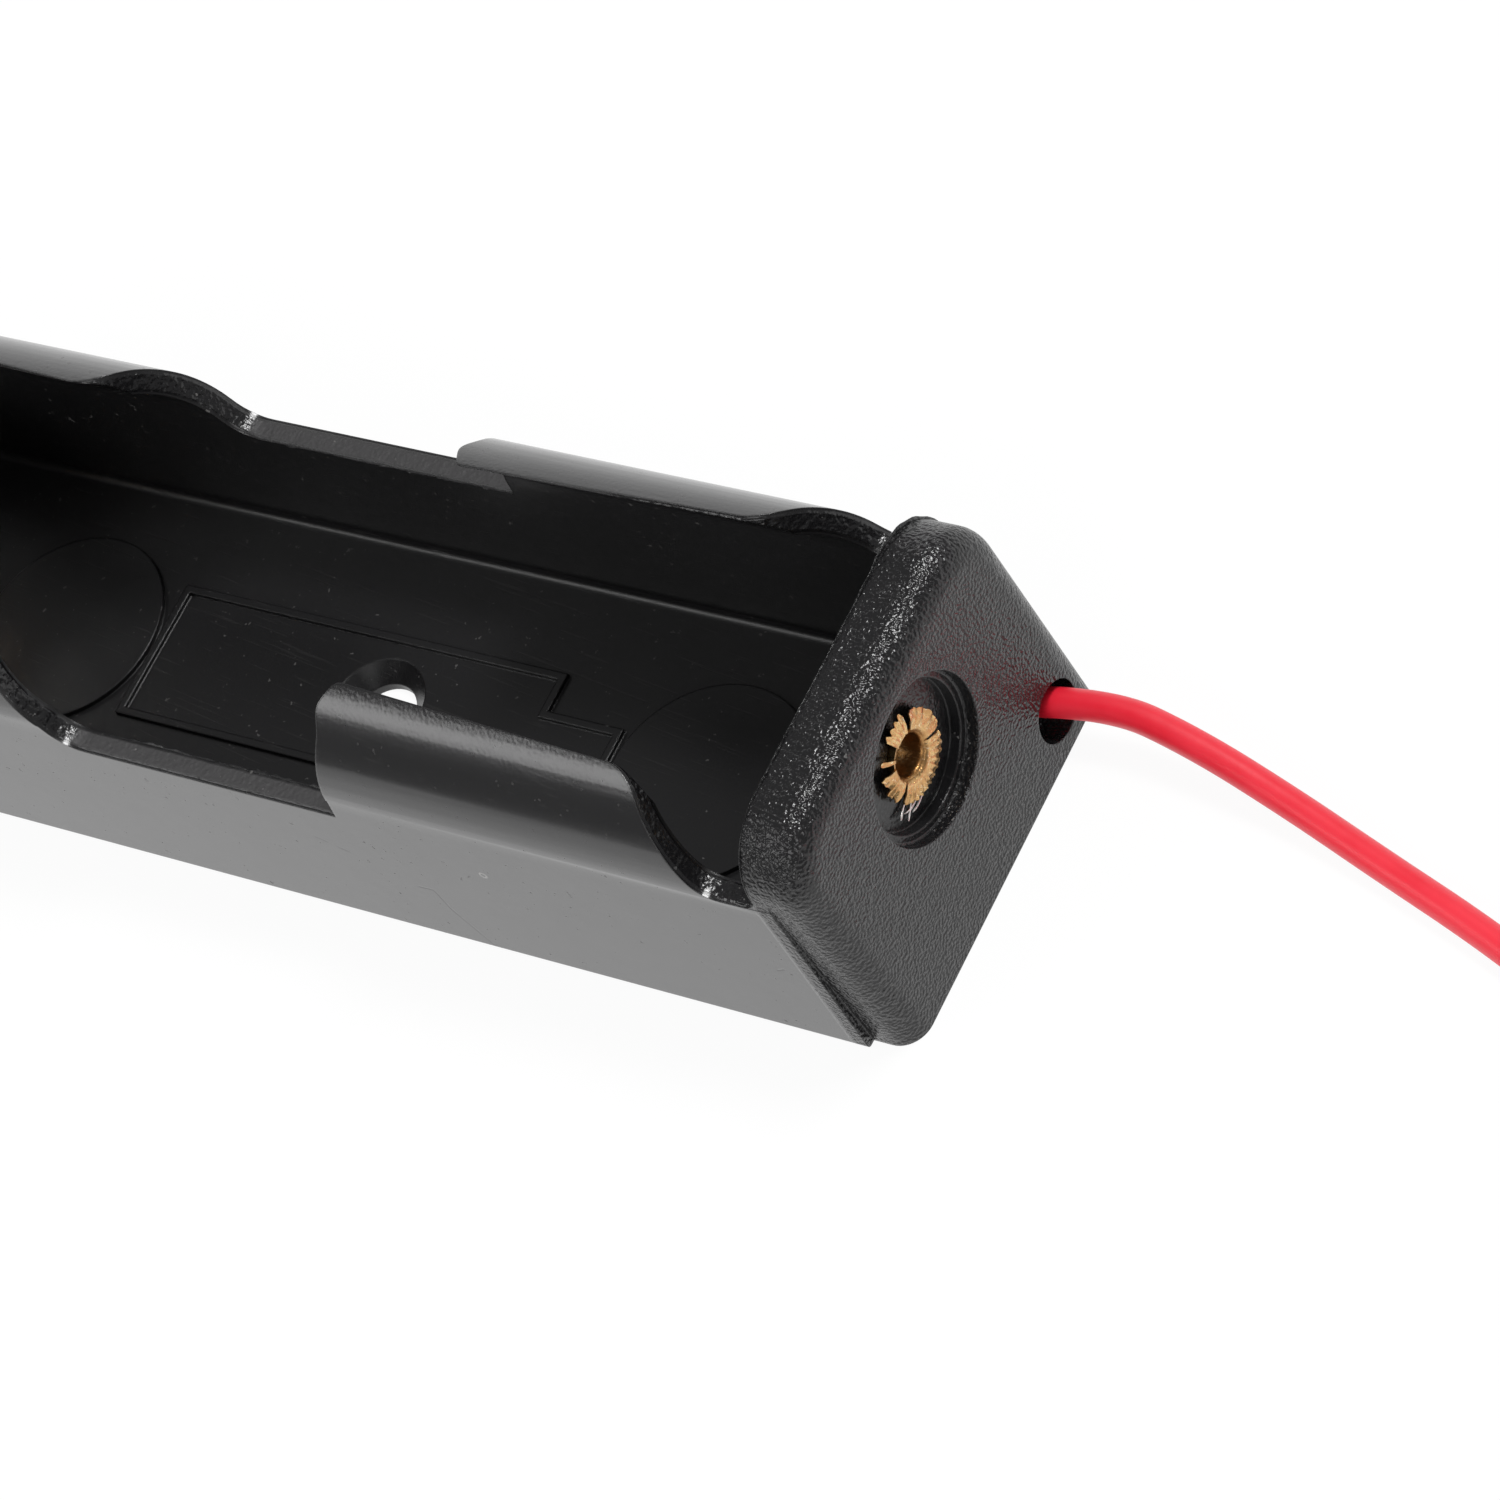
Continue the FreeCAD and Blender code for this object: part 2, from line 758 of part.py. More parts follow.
def make_lead():
    """Insulated lead, from inside its hole to where its coil begins."""
    start = Vector(groove_end.value, sheet_value("lead_hole_offset"), sheet_value("lead_hole_height"))
    points = [start] + [Vector(*point) for point in LEAD_WAY]
    wire = rounded_way(points)
    radius = sheet_value("lead_width") / 2
    profile = Part.Wire([Part.makeCircle(radius, start, points[1] - points[0])])
    tube = wire.makePipeShell([profile], True, False)
    expected = math.pi * radius**2 * wire.Length
    print(f"lead tube length {wire.Length:.2f} mm, volume {tube.Volume / expected:.4f} of expected")
    feature = document.addObject("Part::Feature", "red_lead")
    feature.Label = "red_lead"
    feature.Shape = tube
    return feature


def coil_centre():
    """Middle of the lead's storage coil, to the left of the lead's heading."""
    heading = math.radians(COIL_HEADING)
    reach = coil_outer_turn().value
    end = Vector(*LEAD_WAY[-1])
    return end + Vector(-math.sin(heading), math.cos(heading), 0) * reach


def coil_outer_turn():
    """Radius of the first turn's middle."""
    return size["coil_mean_radius"] + size["lead_width"] * size["lead_turns"] / 2


def make_lead_coil():
    """Outer shape of the lead's stored turns, which lie flat beside each other."""
    centre = coil_centre()
    lead = size["lead_width"]
    outer = coil_outer_turn() + lead / 2
    inner = coil_outer_turn() - lead * size["lead_turns"] - lead / 2
    disc = primitive("Part::Cylinder", "CoilDisc", Radius=outer, Height=lead)
    eye = primitive("Part::Cylinder", "CoilEye", Radius=inner, Height=lead)
    for item in (disc, eye):
        place(item, centre.x, centre.y, 0)
    ring = document.addObject("Part::Cut", "red_lead_coil")
    ring.Label = "red_lead_coil"
    ring.Base = disc
    ring.Tool = eye
    document.recompute()
    return ring


# The stripped tip leaves the coil's inner turn at this angle around the coil's middle,
# and it points this much further in than the turn does.
TIP_ANGLE = -50.0
TIP_INWARD = 35.0


def make_lead_tip():
    """Stripped and tinned end of the lead, inside the coil."""
    centre = coil_centre()
    lead = size["lead_width"]
    start_radius = coil_outer_turn() - lead * size["lead_turns"] - size["lead_tip_inset"]
    around = math.radians(TIP_ANGLE)
    tip = primitive("Part::Cylinder", "red_lead_tip", Radius=size["core_width"] / 2,
                    Height=size["lead_tip_length"])
    tip.Label = "red_lead_tip"
    turn = Rotation(Vector(0, 0, 1), TIP_ANGLE + 90 + TIP_INWARD)
    tip.Placement.Rotation = turn.multiply(Rotation(Vector(0, 1, 0), 90))
    place(tip, start_radius * math.cos(around) + centre.x,
          start_radius * math.sin(around) + centre.y, lead / 2)
    document.recompute()
    return tip


def main():
    parts = [
        make_tray(),
        make_contact_plate(),
        make_rivet("positive_rivet", size["plate_thickness"], turned=False),
        make_conductor(),
        make_lead(),
        make_lead_coil(),
        make_lead_tip(),
        make_spring(),
        make_rivet("negative_rivet", size["spring_wire"], turned=True),
    ]
    document.recompute()
    for item in document.Objects:
        if "Invalid" in item.State or "Error" in item.State:
            raise RuntimeError(f"{item.Name} failed: {item.State}")
    for part in parts:
        if part.Shape.isNull() or not part.Shape.isValid() or len(part.Shape.Solids) != 1:
            raise RuntimeError(f"{part.Label} is not one sound solid")
    os.makedirs("parts", exist_ok=True)
    for part in parts:
        part.Shape.exportStep(f"parts/{part.Label}.step")
        box = part.Shape.BoundBox
        print(f"{part.Label}: volume {part.Shape.Volume:.2f} mm3, solids {len(part.Shape.Solids)}, "
              f"x {box.XMin:.2f} to {box.XMax:.2f}, y {box.YMin:.2f} to {box.YMax:.2f}, "
              f"z {box.ZMin:.2f} to {box.ZMax:.2f}")


main()
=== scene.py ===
"""Cylindrical cell holder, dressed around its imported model.

A black moulded tray for one cell, riveted contacts at both ends, a coil spring and a red
lead. Every mesh is in metres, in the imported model's own frame: +Z up, the cell along X,
and the end with the lead at +X. The studio and the lead are sized in metres too, and the
plastic, the eyelets, the strands, the spring, the flash and the tray in mm.
"""

import logging
from dataclasses import dataclass, field
from enum import Enum

import bmesh
import bpy
import numpy as np
from mathutils import Matrix, Vector


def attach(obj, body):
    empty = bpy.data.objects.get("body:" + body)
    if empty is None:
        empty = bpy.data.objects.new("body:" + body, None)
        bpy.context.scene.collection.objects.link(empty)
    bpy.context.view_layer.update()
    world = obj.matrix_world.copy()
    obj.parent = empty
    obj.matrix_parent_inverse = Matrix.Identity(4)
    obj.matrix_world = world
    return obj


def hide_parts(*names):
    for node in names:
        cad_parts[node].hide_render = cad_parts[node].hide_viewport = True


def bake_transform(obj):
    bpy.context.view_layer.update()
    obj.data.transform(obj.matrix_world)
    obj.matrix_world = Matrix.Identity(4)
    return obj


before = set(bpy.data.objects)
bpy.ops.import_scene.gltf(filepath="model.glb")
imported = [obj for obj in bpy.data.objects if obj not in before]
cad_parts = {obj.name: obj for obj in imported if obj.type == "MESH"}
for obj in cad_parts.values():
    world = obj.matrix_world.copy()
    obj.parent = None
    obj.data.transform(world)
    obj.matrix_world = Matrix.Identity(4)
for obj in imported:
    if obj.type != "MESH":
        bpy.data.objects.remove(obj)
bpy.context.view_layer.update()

log = logging.getLogger("cell_holder")

MM = 0.001
CELL_AXIS = 10.7  # mm above the ground, where the eyelets and the spring lie too
HOLDER = "holder"

Point = tuple[float, float, float]
Colour = tuple[float, float, float]
Band = tuple[float, float]
Socket = bpy.types.NodeSocket


class Side(Enum):
    """Side wall of the tray, by the sign of its Y."""

    NEAR = -1.0
    FAR = 1.0


# Numbers and meshes


def smoothstep(value: np.ndarray, low: float, high: float) -> np.ndarray:
    """Rise from 0 at low to 1 at high along the curve t * t * (3 - 2 t).

    Args:
        value: numbers to be eased.
        low: number at which the rise starts.
        high: number at which it ends.

    Returns:
        The eased numbers, from 0 to 1.
    """
    t = np.clip((np.asarray(value, float) - low) / (high - low), 0.0, 1.0)
    return t * t * (3.0 - 2.0 * t)


def wander(along: np.ndarray, knots: int, seed: int) -> np.ndarray:
    """Draw a smooth random line through evenly spaced random heights.

    The heights are joined by cosine steps, h0 + (h1 - h0) * (1 - cos(pi t)) / 2.

    Args:
        along: places from 0 to 1.
        knots: number of random heights.
        seed: start of the random numbers.

    Returns:
        A height from -1 to 1 for each place.
    """
    heights = np.random.default_rng(seed).uniform(-1.0, 1.0, knots + 1)
    place = np.clip(np.asarray(along, float), 0.0, 1.0) * (knots - 1)
    first = np.floor(place).astype(int)
    ease = (1.0 - np.cos(np.pi * (place - first))) / 2.0
    return heights[first] + (heights[first + 1] - heights[first]) * ease


def unit(vectors: np.ndarray) -> np.ndarray:
    """Scale each vector to length 1."""
    return vectors / np.linalg.norm(vectors, axis=-1, keepdims=True)


def grid_faces(rows: int, columns: int, loop_rows: bool, loop_columns: bool) -> np.ndarray:
    """Number the quads of a grid whose point (row, column) is row * columns + column.

    Args:
        rows: number of rows of points.
        columns: number of points in a row.
        loop_rows: whether the last row joins the first.
        loop_columns: whether each row closes on itself.

    Returns:
        One row of four point numbers per quad.
    """
    row = np.arange(rows if loop_rows else rows - 1)[:, None]
    column = np.arange(columns if loop_columns else columns - 1)[None, :]
    below, right = (row + 1) % rows, (column + 1) % columns
    quads = np.stack([
        row * columns + column,
        row * columns + right,
        below * columns + right,
        below * columns + column,
    ], axis=-1)
    return quads.reshape(-1, 4)


@dataclass
class Surface:
    """Points and faces of one closed or open surface, before it becomes an object."""

    points: np.ndarray
    quads: np.ndarray
    caps: list[list[int]] = field(default_factory=list)

    def joined(self, other: "Surface") -> "Surface":
        """Return this surface and another one as a single surface.

        Args:
            other: surface whose points come after this one's.

        Returns:
            The two surfaces as one.
        """
        shift = len(self.points)
        return Surface(
            np.vstack([self.points, other.points]),
            np.vstack([self.quads, other.quads + shift]),
            self.caps + [[number + shift for number in cap] for cap in other.caps],
        )

    def volume(self) -> float:
        """Add up the signed volumes a . (b x c) / 6 of the faces' triangles.

        Returns:
            The volume, above 0 where the faces turn outwards.
        """
        fans = [[cap[0], second, third] for cap in self.caps
                for second, third in zip(cap[1:], cap[2:])]
        triangles = np.vstack([self.quads[:, [0, 1, 2]], self.quads[:, [0, 2, 3]],
                               np.array(fans, int).reshape(-1, 3)])
        corner = self.points[triangles]
        return float(np.einsum("ij,ij->", corner[:, 0], np.cross(corner[:, 1], corner[:, 2]))) / 6.0

    def facing_out(self) -> "Surface":
        """Return the closed surface with its faces turned outwards.

        Returns:
            This surface, or its reverse.
        """
        if self.volume() >= 0.0:
            return self
        return Surface(self.points, self.quads[:, ::-1], [cap[::-1] for cap in self.caps])


def swept(rings: np.ndarray) -> Surface:
    """Skin the rings of points that a closed profile leaves along its path, and cap both ends.

    Args:
        rings: array of rings, points per ring, 3.

    Returns:
        The closed surface, facing outwards.
    """
    rows, columns = rings.shape[:2]
    caps = [list(range(columns))[::-1], list(range((rows - 1) * columns, rows * columns))]
    faces = grid_faces(rows, columns, False, True)[:, ::-1]
    return Surface(rings.reshape(-1, 3), faces, caps).facing_out()


def fin(path: np.ndarray, outward: np.ndarray, height: np.ndarray, thickness: float) -> Surface:
    """Stand a thin strip on a path, as the flash along a mould's parting line.

    Each cross-section has two points at the foot, path +- t/2 B, and two at the top,
    path + h O +- t/6 B, where O is the way out and B stands square to O and the path.

    Args:
        path: points of the foot.
        outward: way out at each point.
        height: height at each point.
        thickness: thickness at the foot.

    Returns:
        The closed strip.
    """
    heading = unit(np.gradient(path, axis=0))
    out = unit(outward)
    across = unit(np.cross(heading, out))
    foot = path - out * thickness
    top = path + out * height[:, None]
    half, narrow = across * thickness / 2.0, across * thickness / 6.0
    return swept(np.stack([foot - half, foot + half, top + narrow, top - narrow], axis=1))


def wire_rings(path: np.ndarray, radius: np.ndarray, sides: int, up: Point) -> np.ndarray:
    """Carry a circle along a path.

    Each circle stands square to the path's heading T, on the two directions
    B = T x up and N = B x T, as path + r (cos a N + sin a B).

    Args:
        path: points of the centre line.
        radius: radius of the wire at each point.
        sides: number of points on each circle.
        up: direction that the path is never parallel to.

    Returns:
        The circles' points, an array of points along, sides, 3.
    """
    heading = unit(np.gradient(path, axis=0))
    side = unit(np.cross(heading, np.array(up, float)))
    across = np.cross(side, heading)
    angle = np.linspace(0.0, 2.0 * np.pi, sides, endpoint=False)
    spoke = (np.cos(angle)[None, :, None] * across[:, None, :]
             + np.sin(angle)[None, :, None] * side[:, None, :])
    return path[:, None, :] + np.asarray(radius, float).reshape(-1, 1, 1) * spoke


def linked(name: str, data: bpy.types.ID) -> bpy.types.Object:
    """Make an object of a mesh, curve, camera or lamp and link it into the scene.

    Args:
        name: name of the object.
        data: what the object shows.

    Returns:
        The new object.
    """
    item = bpy.data.objects.new(name, data)
    bpy.context.scene.collection.objects.link(item)
    return item


def soften(mesh: bpy.types.Mesh, crease_degrees: float) -> None:
    """Shade a mesh softly, except at edges whose faces meet at more than an angle.

    Args:
        mesh: mesh that is shaded.
        crease_degrees: angle between faces past which an edge stays sharp.
    """
    mesh.update()
    mesh.shade_smooth()
    mesh.set_sharp_from_angle(angle=np.radians(crease_degrees))


def smooth_object(name: str, surface: Surface, crease_degrees: float = 35.0) -> bpy.types.Object:
    """Make a softly shaded object of a surface.

    Args:
        name: name of the object and its mesh.
        surface: points and faces in metres.
        crease_degrees: angle between faces past which an edge stays sharp.

    Returns:
        The new object, linked into the scene.
    """
    mesh = bpy.data.meshes.new(name)
    mesh.from_pydata(surface.points.tolist(), [], surface.quads.tolist() + surface.caps)
    mesh.validate()
    soften(mesh, crease_degrees)
    return linked(name, mesh)


def dress(item: bpy.types.Object, material: bpy.types.Material) -> None:
    """Give an object one material in place of all it had."""
    item.data.materials.clear()
    item.data.materials.append(material)


# Shader building


class Shading:
    """A node tree that is being filled, with short calls for its nodes."""

    def __init__(self, tree: bpy.types.NodeTree) -> None:
        """Keep the tree and clear it."""
        self.tree = tree
        tree.nodes.clear()

    def node(self, kind: str, **settings: object) -> bpy.types.Node:
        """Add a node of a kind and set its own properties.

        Args:
            kind: the node's type.
            settings: values of its own properties.

        Returns:
            The new node.
        """
        made = self.tree.nodes.new(kind)
        for name, value in settings.items():
            setattr(made, name, value)
        return made

    def feed(self, socket: Socket, value: object) -> None:
        """Link a socket to another one, or set its plain value.

        Args:
            socket: input that is fed.
            value: an output socket or a plain value.
        """
        if isinstance(value, Socket):
            self.tree.links.new(value, socket)
        else:
            socket.default_value = value

    def surface(self, shader: Socket, output: str = "ShaderNodeOutputMaterial") -> None:
        """Add the tree's output node and feed it from a shader."""
        self.feed(self.node(output).inputs["Surface"], shader)

    def math(self, operation: str, *values: object, clamp: bool = False) -> Socket:
        """Add a Math node on up to three values and return its result.

        Args:
            operation: the node's operation.
            values: sockets or numbers.
            clamp: whether the result is held between 0 and 1.

        Returns:
            The result's socket.
        """
        made = self.node("ShaderNodeMath", operation=operation, use_clamp=clamp)
        for socket, value in zip(made.inputs, values):
            self.feed(socket, value)
        return made.outputs[0]

    def chain(self, operation: str, *values: object, clamp: bool = False) -> Socket:
        """Apply a Math operation to the first value and each later one, and clamp the last.

        Args:
            operation: operation of each Math node.
            values: two or more sockets or numbers.
            clamp: whether the last result is held between 0 and 1.

        Returns:
            The last result's socket.
        """
        result = values[0]
        for value in values[1:-1]:
            result = self.math(operation, result, value)
        return self.math(operation, result, values[-1], clamp=clamp)

    def product(self, *values: object) -> Socket:
        """Multiply two or more values."""
        return self.chain("MULTIPLY", *values)

    def total(self, *values: object, clamp: bool = False) -> Socket:
        """Add two or more values."""
        return self.chain("ADD", *values, clamp=clamp)

    def most(self, *values: object) -> Socket:
        """Take the largest of two or more values."""
        return self.chain("MAXIMUM", *values)

    def minus(self, first: object, second: object) -> Socket:
        """Take the second value from the first."""
        return self.math("SUBTRACT", first, second)

    def hypot(self, across: Socket, up: Socket) -> Socket:
        """Find the distance from two legs, the root of the sum of their squares."""
        return self.math("SQRT", self.total(
            self.math("POWER", across, 2.0), self.math("POWER", up, 2.0)))

    def axes(self, place: Socket) -> dict[str, Socket]:
        """Split coordinates into X, Y and Z.

        Args:
            place: coordinates.

        Returns:
            The sockets of X, Y and Z by name.
        """
        made = self.node("ShaderNodeSeparateXYZ")
        self.feed(made.inputs[0], place)
        return {name: made.outputs[name] for name in "XYZ"}

    def vector(self, operation: str, first: object, second: object,
               output: str = "Vector") -> Socket:
        """Add a Vector Math node on two vectors and return its vector or its value.

        Args:
            operation: the node's operation.
            first: first vector.
            second: second vector.
            output: Vector or Value.

        Returns:
            The chosen output's socket.
        """
        made = self.node("ShaderNodeVectorMath", operation=operation)
        self.feed(made.inputs[0], first)
        self.feed(made.inputs[1], second)
        return made.outputs[output]

    def ramp(self, value: Socket, low: float, high: float,
             bottom: float = 0.0, top: float = 1.0) -> Socket:
        """Ease a value from bottom at low to top at high with a smooth step.

        Args:
            value: socket that is eased.
            low: value at which the rise starts.
            high: value at which it ends.
            bottom: result up to low.
            top: result from high on.

        Returns:
            The eased value's socket.
        """
        made = self.node("ShaderNodeMapRange", interpolation_type="SMOOTHSTEP")
        self.feed(made.inputs["Value"], value)
        for name, number in (("From Min", low), ("From Max", high),
                             ("To Min", bottom), ("To Max", top)):
            made.inputs[name].default_value = number
        return made.outputs["Result"]

    def rise(self, length: Socket, band: Band) -> Socket:
        """Ease from 0 to 1 where a length passes through a band given in mm."""
        return self.ramp(length, band[0] * MM, band[1] * MM)

    def fall(self, length: Socket, band: Band) -> Socket:
        """Ease from 1 to 0 where a length passes through a band given in mm."""
        return self.ramp(length, band[0] * MM, band[1] * MM, 1.0, 0.0)

    def level(self, mask: Socket, off: float, on: float) -> Socket:
        """Ease from one level where a mask is 0 to another where it is 1."""
        return self.ramp(mask, 0.0, 1.0, off, on)

    def blend(self, share: object, first: object, second: object) -> Socket:
        """Mix two colours by a share.

        Args:
            share: how much of the second colour is in the mixture.
            first: first colour.
            second: second colour.

        Returns:
            The mixture's socket.
        """
        made = self.node("ShaderNodeMix", data_type="RGBA")
        self.feed(made.inputs["Factor"], share)
        for name, value in (("A", first), ("B", second)):
            socket = next(s for s in made.inputs if s.name == name and s.type == "RGBA")
            self.feed(socket, (*value, 1.0) if isinstance(value, tuple) else value)
        return next(s for s in made.outputs if s.type == "RGBA")

    def noise(self, vector: object, scale: object, detail: object = 2.0,
              roughness: float = 0.5) -> Socket:
        """Add a noise texture and return its value from 0 to 1.

        Args:
            vector: coordinates.
            scale: cells per metre.
            detail: number of finer layers.
            roughness: share of each finer layer.

        Returns:
            The noise's socket.
        """
        made = self.node("ShaderNodeTexNoise", noise_dimensions="3D")
        self.feed(made.inputs["Vector"], vector)
        self.feed(made.inputs["Scale"], scale)
        self.feed(made.inputs["Detail"], detail)
        made.inputs["Roughness"].default_value = roughness
        return made.outputs[0]

    def group(self, tree: bpy.types.NodeTree, **values: object) -> Socket:
        """Place a node group with its values and return its one output.

        Args:
            tree: the node group.
            values: value or socket for each input name.

        Returns:
            The group's output socket.
        """
        made = self.node("ShaderNodeGroup", node_tree=tree)
        for name, value in values.items():
            self.feed(made.inputs[name], value)
        return made.outputs[0]


def new_material(name: str) -> tuple[bpy.types.Material, Shading]:
    """Make a material with an empty node tree, and the tree's shading helper.

    Args:
        name: name of the material.

    Returns:
        The material and the helper.
    """
    material = bpy.data.materials.new(name)
    material.use_nodes = True
    return material, Shading(material.node_tree)


def new_group(name: str, inputs: dict[str, tuple[str, object]], output: str) -> tuple:
    """Start a node group with named inputs and one value output.

    Args:
        name: name of the group.
        inputs: socket kind and default for each input name.
        output: name of the output value.

    Returns:
        The group, its shading helper, the inputs' sockets by name and the output socket.
    """
    tree = bpy.data.node_groups.new(name, "ShaderNodeTree")
    for label, (kind, default) in inputs.items():
        socket = tree.interface.new_socket(label, in_out="INPUT", socket_type=kind)
        if default is not None:
            socket.default_value = default
    tree.interface.new_socket(output, in_out="OUTPUT", socket_type="NodeSocketFloat")
    shading = Shading(tree)
    entry = shading.node("NodeGroupInput")
    leave = shading.node("NodeGroupOutput")
    return tree, shading, entry.outputs, leave.inputs[output]


def grain_group() -> bpy.types.NodeTree:
    """Moulded or spark-eroded grain, a height: fine noise + Coarseness * wide noise.

    Density is the number of fine grains per metre.

    Returns:
        The node group.
    """
    tree, shading, given, result = new_group("Moulded grain", {
        "Vector": ("NodeSocketVector", None),
        "Density": ("NodeSocketFloat", 5000.0),
        "Coarseness": ("NodeSocketFloat", 0.5),
        "Detail": ("NodeSocketFloat", 3.0),
    }, "Height")
    fine = shading.noise(given["Vector"], given["Density"], given["Detail"], 0.6)
    wide = shading.noise(given["Vector"], shading.product(given["Density"], 0.31))
    shading.feed(result, shading.total(fine, shading.product(wide, given["Coarseness"])))
    return tree


def fleck_group() -> bpy.types.NodeTree:
    """Scattered flecks, a mask: noise of Density cells per metre, above a threshold.

    Returns:
        The node group.
    """
    tree, shading, given, result = new_group("Flecks", {
        "Vector": ("NodeSocketVector", None),
        "Density": ("NodeSocketFloat", 2500.0),
        "Threshold": ("NodeSocketFloat", 0.7),
        "Softness": ("NodeSocketFloat", 0.03),
    }, "Mask")
    value = shading.noise(given["Vector"], given["Density"], 2.0, 0.6)
    above = shading.minus(value, given["Threshold"])
    shading.feed(result, shading.math("DIVIDE", above, given["Softness"], clamp=True))
    return tree


def scratch_group() -> bpy.types.NodeTree:
    """Long thin scratches, a mask: noise drawn out along one direction, above a threshold.

    Returns:
        The node group.
    """
    tree, shading, given, result = new_group("Scratches", {
        "Vector": ("NodeSocketVector", None),
        "Turn": ("NodeSocketVector", None),
        "Stretch": ("NodeSocketVector", (200.0, 9000.0, 9000.0)),
        "Threshold": ("NodeSocketFloat", 0.68),
    }, "Mask")
    turned = shading.node("ShaderNodeVectorRotate", rotation_type="EULER_XYZ")
    shading.feed(turned.inputs["Vector"], given["Vector"])
    shading.feed(turned.inputs["Rotation"], given["Turn"])
    drawn_out = shading.vector("MULTIPLY", turned.outputs[0], given["Stretch"])
    above = shading.minus(shading.noise(drawn_out, 1.0, 1.0), given["Threshold"])
    shading.feed(result, shading.math("MULTIPLY", above, 18.0, clamp=True))
    return tree


def line_group() -> bpy.types.NodeTree:
    """One straight nick: 1 within half its width of a line from a point, 0 past its width.

    Returns:
        The node group.
    """
    tree, shading, given, result = new_group("Line mark", {
        "Vector": ("NodeSocketVector", None),
        "From": ("NodeSocketVector", None),
        "Along": ("NodeSocketVector", (0.001, 0.0, 0.0)),
        "Width": ("NodeSocketFloat", 0.0001),
    }, "Mask")
    away = shading.vector("SUBTRACT", given["Vector"], given["From"])
    share = shading.math(
        "DIVIDE", shading.vector("DOT_PRODUCT", away, given["Along"], output="Value"),
        shading.vector("DOT_PRODUCT", given["Along"], given["Along"], output="Value"), clamp=True)
    foot = shading.node("ShaderNodeVectorMath", operation="SCALE")
    shading.feed(foot.inputs[0], given["Along"])
    shading.feed(foot.inputs["Scale"], share)
    gap = shading.vector("DISTANCE", away, foot.outputs[0], output="Value")
    left = shading.minus(given["Width"], gap)
    shading.feed(result, shading.math(
        "DIVIDE", left, shading.product(given["Width"], 0.5), clamp=True))
    return tree


@dataclass(frozen=True)
class Effects:
    """The node groups that the finishes share, each built once."""

    grain: bpy.types.NodeTree = field(default_factory=grain_group)
    flecks: bpy.types.NodeTree = field(default_factory=fleck_group)
    scratches: bpy.types.NodeTree = field(default_factory=scratch_group)
    lines: bpy.types.NodeTree = field(default_factory=line_group)


@dataclass(frozen=True)
class Finish:
    """A surface finish: the colour and gloss that are the same all over it."""

    slot: str
    colour: Colour
    roughness: float
    metallic: float = 0.0

    def start(self) -> tuple[bpy.types.Material, Shading, bpy.types.Node, Socket]:
        """Make the material with its shader and coordinates.

        Returns:
            The material, its shading helper, the shader node and the Object coordinates.
        """
        material, shading = new_material(self.slot + "_finish")
        shader = shading.node("ShaderNodeBsdfPrincipled")
        shading.surface(shader.outputs["BSDF"])
        shader.inputs["Base Color"].default_value = (*self.colour, 1.0)
        shader.inputs["Roughness"].default_value = self.roughness
        shader.inputs["Metallic"].default_value = self.metallic
        return material, shading, shader, shading.node("ShaderNodeTexCoord").outputs["Object"]

    def relief(self, shading: Shading, shader: bpy.types.Node, height: Socket,
               depth: float) -> bpy.types.Node:
        """Feed the shader's normal from a height, through a bump of a depth in metres.

        Args:
            shading: helper of the material's tree.
            shader: the material's shader.
            height: height's socket.
            depth: height in metres that the number 1 stands for.

        Returns:
            The bump node, whose own Normal is still free.
        """
        bump = shading.node("ShaderNodeBump")
        shading.feed(bump.inputs["Height"], height)
        bump.inputs["Distance"].default_value = depth
        bump.inputs["Strength"].default_value = 1.0
        shading.feed(shader.inputs["Normal"], bump.outputs["Normal"])
        return bump


@dataclass(frozen=True)
class TrayMasks:
    """Masks of the tray's parts: each is 1 on its part and eases to 0 around it."""

    block: Socket
    outside: Socket
    near_wall: Socket
    lip: Socket
    torn: Socket
    ledge: Socket
    recess: Socket


@dataclass(frozen=True)
class TrayMarks:
    """What lies on the plastic: two sizes of grain, haze, scratches, dust and nicks."""

    grain: Socket
    rips: Socket
    haze: Socket
    hairlines: Socket
    strokes: Socket
    dust: Socket
    nicks: Socket
    ring: Socket


